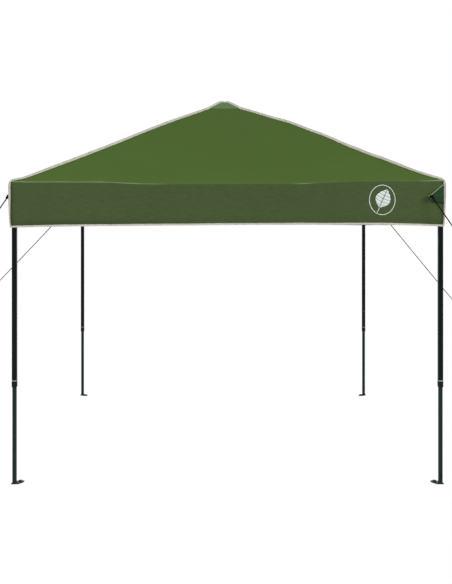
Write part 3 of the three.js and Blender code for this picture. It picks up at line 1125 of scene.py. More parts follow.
def make_hem():
    """The folded tape that closes the valance's lower edge, all the way round."""
    ring, above = RINGS[-1][1], RINGS[-2][1]
    up = above - ring
    up /= np.linalg.norm(up, axis=1)[:, None]
    tangent = np.roll(ring, -1, axis=0) - np.roll(ring, 1, axis=0)
    tangent /= np.linalg.norm(tangent, axis=1)[:, None]
    out = np.cross(tangent, up)
    out /= np.linalg.norm(out, axis=1)[:, None]
    centre = ring + 0.0
    if (out[N_SIDE // 2] @ ring[N_SIDE // 2]) < 0:
        out = -out
    n = len(ring)
    along = np.arange(n) / n
    high = 1.0 + 0.06 * wobble(along * 150.0, 1.0, 3)
    sec = [
        (-0.0014, 0.0004),
        (-0.0009, 0.0017),
        (0.0010, 0.0022),
        (0.0088, 0.0019),
        (0.0106, 0.0015),
        (0.0109, 0.0006),
        (0.0109, -0.0014),
        (0.0106, -0.0023),
        (0.0088, -0.0027),
        (0.0010, -0.0030),
        (-0.0009, -0.0025),
    ]
    s = sweep(centre, up, out, sec, closed=True, scale=high)
    o = s.object("hem_tape", [MAT_TAPE, MAT_BEAD], smooth=60)
    line = np.tile([0, 0, 0, 1.0, 0.3, 0, 0, 0.3, 1.0, 0, 0], n)
    at_ = o.data.attributes.new("stitch", "FLOAT", "POINT")
    at_.data.foreach_set("value", line.astype(np.float32))
    return o


def make_eave_seam():
    """A narrow rolled seam where the valance is sewn to the roof, painted pale in places as a highlight."""
    i = next(j for j, (t, _) in enumerate(RINGS) if t > 1.0)
    p = RINGS[i - 1][1]
    q = RINGS[i][1]
    ring = (p + q) / 2
    tangent = np.roll(ring, -1, axis=0) - np.roll(ring, 1, axis=0)
    tangent /= np.linalg.norm(tangent, axis=1)[:, None]
    down = RINGS[i + 2][1] - RINGS[i - 3][1]
    down /= np.linalg.norm(down, axis=1)[:, None]
    out = np.cross(down, tangent)
    out /= np.linalg.norm(out, axis=1)[:, None]
    if (out[N_SIDE // 2] @ np.array([0, -1, 0.5])) < 0:
        out = -out
    r, sides = 0.0022, 8
    n = len(ring)
    swell = 1.0 + 0.25 * wobble(np.arange(n) / n * 210.0, 0.7, 3)
    at_corner = np.hypot(ring[:, 0] - CLOTH_EAVE + 0.020, ring[:, 1] + CLOTH_EAVE)
    swell += 1.3 * np.exp(-((at_corner / 0.022) ** 2))
    sec = [
        (r * 0.75 * math.cos(2 * math.pi * j / sides) + 0.0006, r * 1.5 * math.sin(2 * math.pi * j / sides))
        for j in range(sides)
    ]
    s = sweep(ring, out, down, sec, closed=True, scale=swell)
    o = s.object("eave_seam", MAT_EAVE, smooth=60)
    co = s.points()
    x = co[:, 0] / CLOTH_EAVE
    front = co[:, 1] < -1.40
    # painted highlight along the front of the seam, palest near its two ends
    painted_highlight = np.interp(
        x,
        [-1.0, -0.97, -0.45, -0.33, -0.28, 0.30, 0.34, 0.37, 0.42, 0.86, 0.95, 1.0],
        [0.9, 0.62, 0.50, 0.42, 0.05, 0.02, 0.45, 0.40, 0.10, 0.10, 0.75, 1.0],
    )
    painted_highlight = painted_highlight * (0.75 + 0.25 * wobble(x * 40.0, 0.3, 3))
    # a fainter painted highlight along the other three sides
    other = 0.25 + 0.2 * wobble(co[:, 1] * 6.0 + co[:, 0] * 5.0, 0.9, 3)
    at = o.data.attributes.new("painted_shade_and_highlight", "FLOAT", "POINT")
    at.data.foreach_set("value", np.clip(np.where(front, painted_highlight, other), 0, 1).astype(np.float32))
    return o


def make_apex_patch():
    """The panel sewn over the roof's peak, a little proud of it, with a turned-under edge."""
    n = 4 * N_SIDE
    rows = [(i, p) for i, (t, p) in enumerate(RINGS) if t <= 0.0885]
    lift = 0.0022
    v = [np.array([[0, 0, Z_APEX + lift]])]
    for i, p in rows:
        v.append(p + np.array([0, 0, lift]))
    edge = rows[-1][1]
    grow = edge * np.array([1.02, 1.02, 1.0])
    v.append(grow + np.array([0, 0, lift - 0.0024 - 0.0016]))
    v.append(grow * np.array([0.985, 0.985, 1.0]) + np.array([0, 0, -0.0002]))
    v = np.concatenate(v)
    faces, mats = [], []
    for j in range(n):
        faces.append([0, 1 + j, 1 + (j + 1) % n])
        mats.append(0)
    for r in range(len(rows) + 1):
        for j in range(n):
            a, b = 1 + r * n + j, 1 + r * n + (j + 1) % n
            faces.append([a, a + n, b + n, b])
            mats.append(1 if r >= len(rows) - 1 else 0)
    uv = [[(float(v[i][0]), float(v[i][1])) for i in f] for f in faces]
    s = Shape().add(v, faces, mats, uv)
    o = s.object("apex_patch", [MAT_PATCH, MAT_GUSSET], smooth=38)
    th = o.modifiers.new("thickness", "SOLIDIFY")
    th.thickness, th.offset = 0.0006, -1.0
    return o


edgings = [make_edging(c) for c in range(4)]
hem = make_hem()
eave_seam = make_eave_seam()
apex_patch = make_apex_patch()


def on_valance(k, a, z, out=0.0):
    """A point of side k's valance at a along the side and height z, out proud of the cloth."""
    s = a / CLOTH_EAVE
    z_top = 1.987 + eave_lift(k, s)
    v = (z_top - z) / (z_top - hem_z(k, s))
    p = valance_point(k, s, v)
    p = p + np.stack([np.zeros_like(p[..., 0]), -np.ones_like(p[..., 0]) * out, np.zeros_like(p[..., 0])], -1)
    if k == 0:
        p[..., 0] += CLOTH_SHIFT
    return p


def make_tab(corner, k, end, eye, root, foot):
    """A cloth tab sewn into a corner seam: a folded triangle that narrows to a metal eyelet.

    It lies on side k, at the side's right-hand end (end = 1) or left-hand one (-1). eye is the
    eyelet's place along the side, its distance out from the centre and its height; root is the
    sewn edge's top and bottom height, and foot the half-width of the tab's rounded tip."""
    n, m = 26, 16
    a_root = CLOTH_EAVE - 0.0030
    reach = a_root - eye[0] + foot
    grid = np.zeros((n + 1, m + 1, 3))
    for i in range(n + 1):
        q = reach * math.sin(math.pi / 2 * i / n)  # along the tab, closer together at the tip
        to_eye = a_root - eye[0]
        u = min(q / to_eye, 1.0)
        half = (root[0] - root[1]) / 2 * (1 - u) + foot * u
        if q > to_eye:
            half = math.sqrt(max(foot**2 - (q - to_eye) ** 2, 1e-8))
        z_mid = (root[0] + root[1]) / 2 * (1 - u) + eye[2] * u
        for j in range(m + 1):
            w = j / m
            z = z_mid + half * (1 - 2 * w)
            a = a_root - q
            rise = (q / to_eye) ** 1.5
            fold = 0.0050 * math.exp(-(((w - 0.62) / 0.13) ** 2)) * (1 - u) * min(1, 6 * u)
            fold += 0.0030 * math.exp(-(((w - 0.22) / 0.10) ** 2)) * (1 - u) * min(1, 6 * u)
            at = on_valance(k, np.array(end * a), np.array(z), 0.0)
            lift = eye[1] - (-at[1]) - 0.0012
            p = at + np.array([0.0, -(0.0014 + lift * rise + fold), 0.0])
            grid[i, j] = p
    v = grid.reshape(-1, 3)
    faces = grid_faces(n + 1, m + 1, flip=end > 0)
    uv = [[(float(v[i][0]), float(v[i][2])) for i in f] for f in faces]
    o = Shape().add(v, faces, 0, uv).object(
        "corner_tab_" + corner, [MAT_GUSSET], turned=k, smooth=50
    )
    th = o.modifiers.new("thickness", "SOLIDIFY")
    th.thickness, th.offset = 0.0012, -1.0
    # its hem, turned over and rolled; the part along the upper edge is painted pale as a highlight, the lower part
    # takes the tab's cloth
    edge = np.vstack([grid[:, 0], grid[::-1, m]])
    edge, _ = smooth_path(edge, 0.003)
    t = np.gradient(edge, axis=0)
    t /= np.linalg.norm(t, axis=1)[:, None]
    outd = np.tile([0, -1.0, 0], (len(edge), 1))
    upd = np.cross(t, outd)
    upd /= np.maximum(np.linalg.norm(upd, axis=1), 1e-6)[:, None]
    sec = [
        (0.0030 * math.cos(2 * math.pi * q / 8), 0.0022 * math.sin(2 * math.pi * q / 8))
        for q in range(8)
    ]
    roll = sweep(edge, upd, outd, sec)
    low = (root[0] + root[1]) / 2
    points = roll.points()
    roll.m = [
        0 if np.mean([points[i][2] for i in f]) > min(low, eye[2]) + 0.006 else 1 for f in roll.f
    ]
    roll = roll.object(
        "corner_tab_hem_" + corner, [MAT_ROLL_HIGHLIGHT, MAT_GUSSET], turned=k, smooth=60
    )
    ring = lathe(
        [
            (0.0062, -0.0026),
            (0.0092, -0.0030),
            (0.0116, -0.0020),
            (0.0122, -0.0002),
            (0.0116, 0.0012),
            (0.0092, 0.0022),
            (0.0066, 0.0018),
            (0.0058, 0.0002),
            (0.0058, -0.0012),
        ],
        "y",
        (0, 0, 0),
        36,
    )
    tilt = -end * 0.30
    m4 = Matrix.Translation((end * eye[0], -eye[1], eye[2])) @ Matrix.Rotation(tilt, 4, "Z")
    eyelet = Shape().merge(ring, m4).object("eyelet_" + corner, MAT_ZINC, turned=k, smooth=60)
    return o, roll, eyelet


def make_emblem():
    """An upright oval badge with a single leaf, printed on the front valance."""
    cx, cz = 1.0225, 1.8795
    rx, rz = 0.0870, 0.1000
    lean = math.radians(-24)
    s = Shape()

    def put(v2, f, proud=0.0010):
        a = np.array(v2, float)
        p = on_valance(0, a[:, 0] - CLOTH_SHIFT, a[:, 1], proud)
        s.add(p, f, 0, [[(float(a[i][0]), float(a[i][1])) for i in q] for q in f])

    sides = 88
    v, f = [], []
    for r in (0.0, 0.0046):
        for i in range(sides):
            w = 2 * math.pi * i / sides
            v.append((cx + (rx - r) * math.cos(w), cz + (rz - r) * math.sin(w)))
    for i in range(sides):
        j = (i + 1) % sides
        f.append([i, sides + i, sides + j, j][::-1])
    put(v, f)

    def turned_in(x, y):
        return (
            cx + 0.003 + x * math.cos(lean) - y * math.sin(lean),
            cz + x * math.sin(lean) + y * math.cos(lean),
        )

    # the leaf: two halves with a gap along the midrib, each cut into lobes by its veins
    for side in (1, -1):
        lobes = 6
        for q in range(lobes):
            t0, t1 = q / lobes, (q + 1) / lobes
            n, cols = 7, 6
            v, f = [], []
            for i in range(n + 1):
                t = t0 + (t1 - t0) * (0.045 + 0.91 * i / n)
                for j in range(cols + 1):
                    g = j / cols
                    # the veins run forward as they go out
                    ty = t + 0.10 * g * (1 - t)
                    wide = 0.0500 * math.sin(math.pi * min(1.0, t) ** 0.80) ** 0.85
                    x = side * (0.0018 + max(wide - 0.0018, 0.0002) * g)
                    v.append(turned_in(x, -0.062 + 0.138 * ty))
            for i in range(n):
                for j in range(cols):
                    a = i * (cols + 1) + j
                    quad = [a, a + 1, a + cols + 2, a + cols + 1]
                    f.append(quad if side > 0 else quad[::-1])
            put(v, f)
    n = 8
    v, f = [], []
    for i in range(n + 1):
        for x in (-0.0024, 0.0024):
            v.append(turned_in(x + 0.0018 * math.sin(i / n * 2.0), -0.090 + 0.030 * i / n))
    for i in range(n):
        f.append([2 * i, 2 * i + 1, 2 * i + 3, 2 * i + 2])
    put(v, f)
    o = s.object("front_emblem", MAT_EMBLEM, smooth=30)
    th = o.modifiers.new("thickness", "SOLIDIFY")
    th.thickness, th.offset = 0.0004, -1.0
    return o


def flatten(o):
    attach(o, "top")
    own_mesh(o)


tabs = [
    make_tab("front_right", 0, 1, (1.3360, 1.4640, 1.8950), (1.984, 1.856), 0.0128),
    make_tab("rear_right", 1, 1, (1.3530, 1.4580, 1.9630), (1.983, 1.880), 0.0128),
    make_tab("rear_left", 3, -1, (1.3530, 1.4540, 1.9630), (1.983, 1.880), 0.0128),
    make_tab("front_left", 3, 1, (1.3360, 1.4640, 1.9025), (1.984, 1.862), 0.0128),
]
emblem = make_emblem()
cloth_pieces = [apex_patch, hem, eave_seam, emblem] + edgings
for o in [canopy] + cloth_pieces + [o for three in tabs for o in three]:
    flatten(o)
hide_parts("canopy")


# ---- Legs ----
def moved(shape, dx=0.0, dy=0.0, dz=0.0):
    return Shape().merge(shape, Matrix.Translation((dx, dy, dz)))


def lug_shape(direction, start, off, z, layer, half_height=0.010):
    """A lug that points at an angle, with its headed pin, as the CAD's lug does."""
    a, b = (-0.009, -0.0009) if layer > 0 else (0.0009, 0.009)
    if layer > 0:
        a, b = -0.009, 0.0009
    else:
        a, b = -0.0009, 0.009
    tip = off + 0.010
    body = rounded_box(start, tip, a, b, z - half_height, z + half_height, 0.0018, 3)
    # a thinner web with a rib round the pin
    body.merge(disc(0.0088, a - 0.0006 if layer > 0 else b - 0.001, a + 0.001 if layer > 0 else b + 0.0006, "y", (off, 0, z), 24))
    end = LAYER + BAR_T + 0.0008
    pin = Shape()
    if layer > 0:
        pin.merge(disc(0.0032, -0.001, end, "y", (off, 0, z), 16, 0.0))
        pin.merge(domed(0.0055, end - 0.0004, end + 0.0010, 0.0014, "y", (off, 0, z), 20))
    else:
        pin.merge(disc(0.0032, -end, 0.001, "y", (off, 0, z), 16, 0.0))
        head = domed(0.0055, -0.0004, 0.0010, 0.0014, "y", (0, 0, 0), 20)
        head = Shape().merge(head, Matrix.Rotation(math.pi, 4, "Z"))
        pin.merge(head, Matrix.Translation((off, -end, z)))
    m = Matrix.Rotation(math.radians(direction), 4, "Z")
    return Shape().merge(body, m), Shape().merge(pin, m)


def build_leg():
    o2 = OUTER / 2
    parts = {}
    tube = square_tube(o2, 0.001, Z_COLLAR + 0.001, Z_LEG_TOP - 0.006, r=0.0032)
    parts["outer_tube"] = (
        boolean(
            tube,
            [disc(0.0046, -o2 - 0.004, -o2 + 0.003, "x", (0, 0, z), 20, 0.0) for z in HOLES_Z],
            "outer",
        ),
        MAT_OUTER,
        "leg_outer",
        "outer_tube",
    )
    collar = square_tube(0.0162, 0.0006, Z_COLLAR, Z_RING, r=0.0038)
    for z in (Z_COLLAR + 0.004, Z_COLLAR + 0.030):
        collar.merge(square_tube(0.0166, 0.0008, z, z + 0.0024, r=0.0042))
    collar.merge(
        rounded_box(-0.0173, -0.0158, -0.0045, 0.0045, Z_COLLAR + 0.011, Z_RING - 0.013, 0.0006)
    )
    parts["end_collar"] = (collar, MAT_MOULD, "leg_outer", "moulding")
    parts["collar_ring"] = (
        square_tube(0.0165, 0.0009, Z_RING, Z_RING + 0.0045, r=0.0040),
        MAT_RING,
        "leg_outer",
        "moulding",
    )
    cap = square_tube(0.018, 0.0023, 1.916, Z_LEG_TOP - 0.003, r=0.0045)
    cap.merge(
        rounded_box(-0.0160, 0.0160, -0.0160, 0.0160, Z_LEG_TOP - 0.008, Z_LEG_TOP, 0.0032, 3)
    )
    for z in (1.9205, 1.9290):
        cap.merge(square_tube(0.0183, 0.0018, z, z + 0.0020, r=0.0048))
    pins = Shape()
    for direction, layer in ((180, 1), (90, -1)):
        body, pin = lug_shape(direction, 0.016, OFF_LEG, Z_TOP_PIVOT, layer, 0.013)
        cap.merge(body)
        pins.merge(pin)
    for x in (-1, 1):
        pins.merge(domed(0.0030, 0.0178, 0.0184, 0.0009, "x", (0, 0, 1.960), 16) if x > 0 else Shape().merge(
            domed(0.0030, 0.0178, 0.0184, 0.0009, "y", (0, 0, 1.960), 16), Matrix.Rotation(math.pi, 4, "Z")))
    parts["corner_cap"] = (cap, MAT_MOULD, "leg_outer", "moulding")
    parts["corner_pins"] = (pins, MAT_PIN, "leg_outer", "moulding")

    n2 = INNER / 2
    inner = square_tube(n2, 0.001, 0.0035, INNER_TOP, r=0.0028)
    cuts = [disc(0.0034, -n2 - 0.004, -n2 + 0.003, "y", (0, 0, z), 16, 0.0) for z in (0.042, 0.062)]
    cuts.append(disc(0.0046, -n2 - 0.004, -n2 + 0.003, "x", (0, 0, BUTTON_Z), 20, 0.0))
    parts["inner_tube"] = (boolean(inner, cuts, "inner"), MAT_INNER, "leg_inner", "inner_tube")
    parts["foot_plate"] = (foot_shape(), MAT_INNER, "leg_inner", "inner_tube")
    parts["foot_weld"] = (weld_shape(n2), MAT_INNER, "leg_inner", "inner_tube")

    nose = Shape()
    nose.merge(
        Shape().merge(
            domed(0.0041, 0.0065, 0.0127, 0.0012, "x", (0, 0, 0), 24),
            Matrix.Translation((0, 0, BUTTON_Z)) @ Matrix.Rotation(math.pi, 4, "Z"),
        )
    )
    nose.merge(
        Shape().merge(
            disc(0.0065, 0.0082, 0.0108, "x", (0, 0, 0), 24),
            Matrix.Translation((0, 0, BUTTON_Z)) @ Matrix.Rotation(math.pi, 4, "Z"),
        )
    )
    parts["snap_button"] = (nose, MAT_ZINC, "leg_button", "snap_button")
    return parts


def rounded_outline(corners, r, n):
    """A convex outline, anticlockwise, with each corner rounded."""
    out = []
    for i, q in enumerate(corners):
        q = Vector(q)
        to_last = (Vector(corners[i - 1]) - q).normalized()
        to_next = (Vector(corners[(i + 1) % len(corners)]) - q).normalized()
        half = to_last.angle(to_next) / 2
        cut = min(r / math.tan(half), 0.0030)
        a, b = q + to_last * cut, q + to_next * cut
        for j in range(n + 1):
            t = j / n
            out.append(tuple(a * (1 - t) ** 2 + q * 2 * t * (1 - t) + b * t * t))
    return out


def inset(points, d):
    """The outline moved in by d."""
    out = []
    for i, q in enumerate(points):
        q = Vector(q)
        along = (Vector(points[(i + 1) % len(points)]) - Vector(points[i - 1])).normalized()
        out.append((q.x - along.y * d, q.y + along.x * d))
    return out


def foot_shape():
    outline = [
        (0.020, -0.020),
        (0.020, 0.027),
        (-0.018, 0.055),
        (-0.050, 0.055),
        (-0.055, 0.050),
        (-0.055, 0.018),
        (-0.027, -0.020),
    ]
    outline = rounded_outline(outline, 0.0045, 5)
    hole = [
        (-0.032 + 0.0056 * math.cos(math.tau * i / 24), 0.032 + 0.0056 * math.sin(math.tau * i / 24))
        for i in range(24)
    ]
    bm = bmesh.new()

    def ring(points, z):
        verts = [bm.verts.new((x, y, z)) for x, y in points]
        return verts, [
            bm.edges.new((verts[i], verts[(i + 1) % len(verts)])) for i in range(len(verts))
        ]

    def wall(a, b):
        for i in range(len(a)):
            j = (i + 1) % len(a)
            bm.faces.new([a[i], a[j], b[j], b[i]])

    rings = [
        ring(inset(outline, d), z)
        for d, z in ((0.0, 0.0), (0.0, 0.0031), (0.0003, 0.0037), (0.0010, 0.0040))
    ]
    for low, high in zip(rings, rings[1:]):
        wall(low[0], high[0])
    eye = [ring(hole, 0.0), ring(hole, 0.0040)]
    wall(eye[0][0], eye[1][0])
    bmesh.ops.triangle_fill(bm, use_beauty=True, edges=rings[0][1] + eye[0][1])
    bmesh.ops.triangle_fill(bm, use_beauty=True, edges=rings[-1][1] + eye[1][1])
    bmesh.ops.recalc_face_normals(bm, faces=bm.faces)
    plate = from_bmesh(bm)
    bm.free()
    # the raised boss for the peg, pressed up out of the plate
    boss = lathe(
        [
            (0.0055, 0.0034),
            (0.0145, 0.0034),
            (0.0136, 0.0046),
            (0.0130, 0.0062),
            (0.0128, 0.0104),
            (0.0122, 0.0116),
            (0.0110, 0.0120),
            (0.0066, 0.0120),
            (0.0055, 0.0110),
        ],
        "z",
        (-0.032, 0.032, 0),
        32,
    )
    plate.merge(boss)
    return plate


def weld_shape(n2):
    """The weld bead round the foot of the inner tube."""
    outline = rounded_square(n2 + 0.0006, 0.0030, 5)
    pts = []
    for i in range(len(outline)):
        x0, y0 = outline[i]
        x1, y1 = outline[(i + 1) % len(outline)]
        steps = max(1, int(math.hypot(x1 - x0, y1 - y0) / 0.0011))
        for j in range(steps):
            pts.append((x0 + (x1 - x0) * j / steps, y0 + (y1 - y0) * j / steps))
    v = []
    for i, (x, y) in enumerate(pts):
        d = math.hypot(x, y)
        ripple = 1.0 + 0.16 * math.sin(i * 1.55)
        for q in range(7):
            w = math.pi / 2 * q / 6
            rr = 0.0024 * ripple
            v.append(
                (x + x / d * rr * math.cos(w), y + y / d * rr * math.cos(w), 0.0036 + rr * math.sin(w))
            )
    faces = grid_faces(len(pts), 7, close_rows=True, close_cols=True, flip=True)
    return Shape().add(v, faces)


LEG = build_leg()
LEG_REPLACES = {"outer_tube": "leg_outer_", "inner_tube": "leg_inner_", "snap_button": "leg_button_"}
for k, corner in enumerate(CORNERS):
    for name, (shape, mat, body, slot) in LEG.items():
        o = moved(shape, LEG_C, -LEG_C, 0).object(name + "_" + corner, mat, turned=k, smooth=30)
        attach(o, body + "_" + corner)
        if name in LEG_REPLACES:
            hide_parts(LEG_REPLACES[name] + corner)


# ---- Sliders and their knobs ----
PULL_Y, PULL_Z = 0.0105, Z_SLIDER + 0.0155


def slider_parts():
    c = OUTER / 2 + 0.0006
    body = square_tube(0.019, 0.019 - c, Z_SLIDER - 0.024, Z_SLIDER + 0.024, r=0.0048)
    for z in (Z_SLIDER - 0.0225, Z_SLIDER + 0.0200):
        body.merge(square_tube(0.01915, 0.0016, z, z + 0.0024, r=0.0050))
    pins = Shape()
    for direction, layer in ((180, -1), (90, 1)):
        lug, pin = lug_shape(direction, 0.0172, OFF_LEG, Z_SLIDER, layer, 0.011)
        body.merge(lug)
        pins.merge(pin)
    # the boss that the knob slides in
    boss = lathe(
        [(0.0049, 0.0185), (0.0072, 0.0182), (0.0068, 0.0236), (0.0062, 0.0242), (0.0049, 0.0242)],
        "x",
        (0, 0, 0),
        28,
    )
    body.merge(
        boss,
        Matrix.Translation((0, PULL_Y, PULL_Z)) @ Matrix.Rotation(math.pi, 4, "Z"),
    )
    knob = lathe(
        [
            (0, 0.0165),
            (0.0045, 0.0165),
            (0.0045, 0.0276),
            (0.0052, 0.0280),
            (0.0068, 0.0284),
            (0.0070, 0.0292),
            (0.0070, 0.0306),
            (0.0064, 0.0315),
            (0.0040, 0.0312),
            (0, 0.0310),
        ],
        "x",
        (0, 0, 0),
        28,
    )
    knob = Shape().merge(
        knob, Matrix.Translation((0, PULL_Y, PULL_Z)) @ Matrix.Rotation(math.pi, 4, "Z")
    )
    return body, pins, knob


S_BODY, S_PINS, S_KNOB = slider_parts()
for k, corner in enumerate(CORNERS):
    for name, shape, mat, body, slot in (
        ("slider_body", S_BODY, MAT_MOULD, "slider_", "moulding"),
        ("slider_pins", S_PINS, MAT_PIN, "slider_", "moulding"),
        ("slider_knob", S_KNOB, MAT_KNOB, "slider_button_", "pull_knob"),
    ):
        o = moved(shape, LEG_C, -LEG_C, 0).object(name + "_" + corner, mat, turned=k, smooth=30)
        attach(o, body + corner)
        if name == "slider_body":
            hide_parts("slider_" + corner)
        if name == "slider_knob":
            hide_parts("slider_button_" + corner)


# ---- Truss bars ----
def bar_shape(side, pins):
    """A pressed-flat rectangular tube with round corners, moulded end plugs and its rivets."""
    L = ARM + ARM_MID
    h, near, far = BAR_H / 2, side * LAYER, side * (LAYER + BAR_T)
    y0, y1 = min(near, far), max(near, far)
    yc = (y0 + y1) / 2
    r = 0.0024
    rings = []
    e = 0.0003

    def outline(hh, tt, rr, n=3):
        out = []
        for q, (cy, cz) in enumerate([(1, 1), (-1, 1), (-1, -1), (1, -1)]):
            for i in range(n + 1):
                w = math.pi / 2 * (q + i / n)
                out.append(
                    (cy * (tt - rr) + rr * math.cos(w), cz * (hh - rr) + rr * math.sin(w))
                )
        return out

    for dx, hh, tt in (
        (-0.0100, h - BAR_WALL, BAR_T / 2 - BAR_WALL),
        (-0.0100, h - e, BAR_T / 2 - e),
        (-0.0097, h, BAR_T / 2),
        (L + 0.0097, h, BAR_T / 2),
        (L + 0.0100, h - e, BAR_T / 2 - e),
        (L + 0.0100, h - BAR_WALL, BAR_T / 2 - BAR_WALL),
    ):
        rings.append([(dx, yc + y, z) for y, z in outline(hh, tt, r if tt > 0.0045 else 0.0018)])
    cols = len(rings[0])
    tube = Shape().add(
        np.array(rings).reshape(-1, 3),
        grid_faces(len(rings), cols, close_rows=True, close_cols=True),
    )
    # a plug in each end
    plug = Shape()
    for x0, x1 in ((-0.0104, -0.004), (L + 0.004, L + 0.0104)):
        plug.merge(
            rounded_box(x0, x1, yc - BAR_T / 2 + 0.0011, yc + BAR_T / 2 - 0.0011, -h + 0.0011, h - 0.0011, 0.0010)
        )
    rivet = Shape()
    for x in pins:
        back = -side * (LAYER + BAR_T + 0.0008)
        a, b = min(back, far), max(back, far)
        rivet.merge(disc(0.0032, a, b, "y", (x, 0, 0), 16, 0.0))
        for place, way in ((back, -side), (far, side)):
            rr = 0.0055 if place == back else 0.0045
            head = domed(rr, -0.0003, 0.0008, 0.0013, "y", (0, 0, 0), 20)
            m = Matrix.Translation((x, place, 0))
            if way < 0:
                m = m @ Matrix.Rotation(math.pi, 4, "Z")
            rivet.merge(head, m)
    return tube, plug, rivet


def place_bar(name, body, side, pins, matrix, turned):
    tube, plug, rivet = bar_shape(side, pins)
    s = Shape()
    s.merge(tube, matrix, 0)
    s.merge(plug, matrix, 1)
    if pins:
        s.merge(rivet, matrix, 2)
    o = s.object(name + "_bar", [MAT_BAR, MAT_MOULD, MAT_PIN], turned=turned, smooth=30)
    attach(o, body)
    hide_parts(name)


def mid_parts(z, side_layer, centre_layer):
    B = 0.012
    body = rounded_box(-B, B, -B, B, z - 0.014, z + 0.014, 0.0026, 3)
    body.merge(rounded_box(-B - 0.0004, B + 0.0004, -B - 0.0004, B + 0.0004, z - 0.011, z - 0.0085, 0.0010))
    body.merge(rounded_box(-B - 0.0004, B + 0.0004, -B - 0.0004, B + 0.0004, z + 0.0085, z + 0.011, 0.0010))
    pins = Shape()
    for direction, off, layer in (
        (0, OFF_MID, -side_layer),
        (180, OFF_MID, side_layer),
        (90, OFF_MIDC, -centre_layer),
    ):
        lug, pin = lug_shape(direction, 0.0105, off, z, layer)
        body.merge(lug)
        pins.merge(pin)
    s = Shape()
    s.merge(body, None, 0)
    s.merge(pins, None, 1)
    return s


for k, side in enumerate(SIDES):
    at = Matrix.Translation((0, -LEG_C, 0))
    for cell, sign in (("a", -1), ("b", 1)):
        facing = at @ Matrix.Rotation(0 if sign > 0 else math.pi, 4, "Z")
        out_ = -1 if sign > 0 else 1
        place_bar(
            "truss_rise_" + side + "_" + cell,
            "truss_rise_" + side + "_" + cell,
            out_,
            [ARM_MID],
            facing @ Matrix.Translation((OFF_MID, 0, Z_MID_LOW)) @ Matrix.Rotation(-THETA, 4, "Y"),
            k,
        )
        place_bar(
            "truss_fall_" + side + "_" + cell,
            "truss_fall_" + side + "_" + cell,
            -out_,
            [],
            facing @ Matrix.Translation((OFF_MID, 0, Z_MID_UP)) @ Matrix.Rotation(THETA, 4, "Y"),
            k,
        )
    inward = Matrix.Rotation(-math.pi / 2, 4, "Z")
    place_bar(
        "centre_fall_" + side,
        "centre_fall_" + side,
        1,
        [ARM],
        inward @ Matrix.Translation((OFF_HUB, 0, Z_TOP_PIVOT)) @ Matrix.Rotation(THETA, 4, "Y"),
        k,
    )
    place_bar(
        "centre_rise_" + side,
        "centre_rise_" + side,
        -1,
        [],
        inward @ Matrix.Translation((OFF_HUB, 0, Z_SLIDER)) @ Matrix.Rotation(-THETA, 4, "Y"),
        k,
    )
    for name, z, sl, cl in (("mid_upper_", Z_MID_UP, -1, -1), ("mid_lower_", Z_MID_LOW, 1, 1)):
        s = mid_parts(z, sl, cl)
        o = Shape().merge(s, at).object(name + side + "_fitting", [MAT_MOULD, MAT_PIN], turned=k, smooth=30)
        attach(o, name + side)
        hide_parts(name + side)


# ---- Hubs and peak pole ----
def hub_shape(z, layer, socket):
    body = rounded_box(-0.017, 0.017, -0.017, 0.017, z - 0.020, z + 0.020, 0.0035, 3)
    for zz in (z - 0.017, z + 0.0145):
        body.merge(rounded_box(-0.0175, 0.0175, -0.0175, 0.0175, zz, zz + 0.0025, 0.0011))
    pins = Shape()
    for q in range(4):
        lug, pin = lug_shape(-90, 0.0150, OFF_HUB, z, layer)
        m = Matrix.Rotation(math.pi / 2 * q, 4, "Z")
        body.merge(lug, m)
        pins.merge(pin, m)
    if socket:
        body.merge(
            lathe(
                [(0.0129, z + 0.018), (0.0175, z + 0.018), (0.0172, z + 0.0440), (0.0164, z + 0.046), (0.0136, z + 0.046), (0.0129, z + 0.0452)],
                "z",
                (0, 0, 0),
                32,
            )
        )
    s = Shape()
    s.merge(body, None, 0)
    s.merge(pins, None, 1)
    return s


for name, z, layer, socket, body in (
    ("hub_upper", Z_TOP_PIVOT, 1, True, "top"),
    ("hub_lower", Z_SLIDER, -1, False, "hub_lower"),
):
    o = hub_shape(z, layer, socket).object(name + "_casting", [MAT_MOULD, MAT_PIN], smooth=30)
    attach(o, body)
    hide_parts(name)

pole = lathe(
    [
        (0.0112, Z_TOP_PIVOT + 0.012),
        (0.0121, Z_TOP_PIVOT + 0.012),
        (0.0124, Z_TOP_PIVOT + 0.0126),
        (0.0124, 2.7035),
        (0.0112, 2.7035),
    ],
    "z",
    (0, 0, 0),
    32,
)
pole_top = lathe(
    [
        (0, 2.694),
        (0.0108, 2.694),
        (0.0110, 2.7000),
        (0.0176, 2.7004),
        (0.0190, 2.7016),
        (0.0190, 2.7080),
        (0.0182, 2.7108),
        (0.0160, 2.7140),
        (0.0138, 2.7180),
        (0.0100, 2.7202),
        (0.0050, 2.7210),
        (0, 2.7212),
    ],
    "z",
    (0, 0, 0),
    36,
)
for name, shape, mat, slot in (
    ("peak_tube", pole, MAT_POLE, "peak_tube"),
    ("peak_cap", pole_top, MAT_MOULD, "moulding"),
):
    o = shape.object(name, mat, smooth=30)
    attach(o, "top")
    if name == "peak_tube":
        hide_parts("peak_pole")

# ---- Stage: floor, sky and light ----
scene = bpy.context.scene
scene.view_settings.view_transform = "Standard"
scene.view_settings.look = "None"


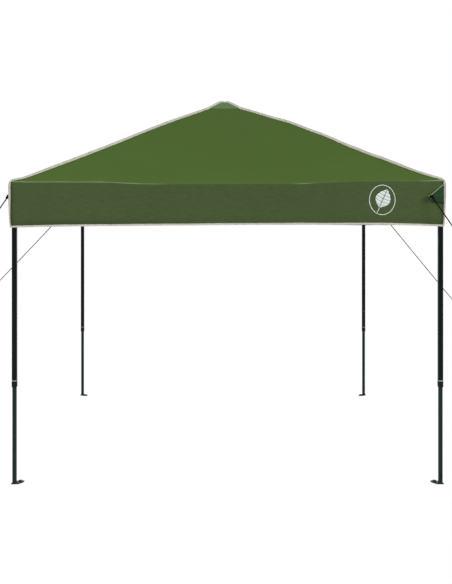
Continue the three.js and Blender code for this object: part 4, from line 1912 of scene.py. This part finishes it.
def stage():
    me = bpy.data.meshes.new("floor")
    me.from_pydata([(-60, -60, 0), (60, -60, 0), (60, 60, 0), (-60, 60, 0)], [], [[0, 1, 2, 3]])
    floor = bpy.data.objects.new("floor", me)
    scene.collection.objects.link(floor)
    m = Mat("floor_paper", Roughness=1.0)
    m.b.inputs["Specular IOR Level"].default_value = 0.0
    p = m.coords("Object")
    m.colour(m.ramp(m.noise(p, 3.0, 2.0), [(0.3, (0.010, 0.010, 0.010, 1)), (0.7, (0.014, 0.014, 0.014, 1))]))
    m.b.inputs["Emission Color"].default_value = (1, 1, 1, 1)
    path = m.node("ShaderNodeLightPath")
    m.link(
        m.math("ADD", m.math("MULTIPLY", path.outputs["Is Camera Ray"], 0.64), 0.36),
        m.b.inputs["Emission Strength"],
    )
    me.materials.append(m.m)

    # white to the eye; as a light, bright behind the gazebo and dim behind the viewer
    w = bpy.data.worlds.new("sky")
    w.use_nodes = True
    nt = w.node_tree
    bg = nt.nodes["Background"]
    bg.inputs[0].default_value = (1, 1, 1, 1)
    tc = nt.nodes.new("ShaderNodeTexCoord")
    sep = nt.nodes.new("ShaderNodeSeparateXYZ")
    nt.links.new(tc.outputs["Generated"], sep.inputs[0])
    ramp = nt.nodes.new("ShaderNodeMapRange")
    ramp.interpolation_type = "SMOOTHSTEP"
    for name, value in (("From Min", -0.85), ("From Max", -0.1), ("To Min", 0.11), ("To Max", 0.82)):
        ramp.inputs[name].default_value = value
    nt.links.new(sep.outputs[1], ramp.inputs["Value"])
    path = nt.nodes.new("ShaderNodeLightPath")
    mix = nt.nodes.new("ShaderNodeMix")
    mix.data_type = "FLOAT"
    nt.links.new(path.outputs["Is Camera Ray"], mix.inputs[0])
    nt.links.new(ramp.outputs["Result"], mix.inputs[2])
    mix.inputs[3].default_value = 1.0
    nt.links.new(mix.outputs[0], bg.inputs[1])
    scene.world = w

    def area(name, at, to, size, power):
        d = bpy.data.lights.new(name, "AREA")
        d.shape, d.size, d.energy = "DISK", size, power
        o = bpy.data.objects.new(name, d)
        o.location = at
        o.rotation_euler = (Vector(to) - Vector(at)).to_track_quat("-Z", "Y").to_euler()
        scene.collection.objects.link(o)

    area("key", (-4.5, -7.5, 7.5), (0, 0, 1.8), 4.0, 450)
    area("fill", (6.5, -6.5, 5.0), (0, 0, 1.8), 4.0, 300)


stage()
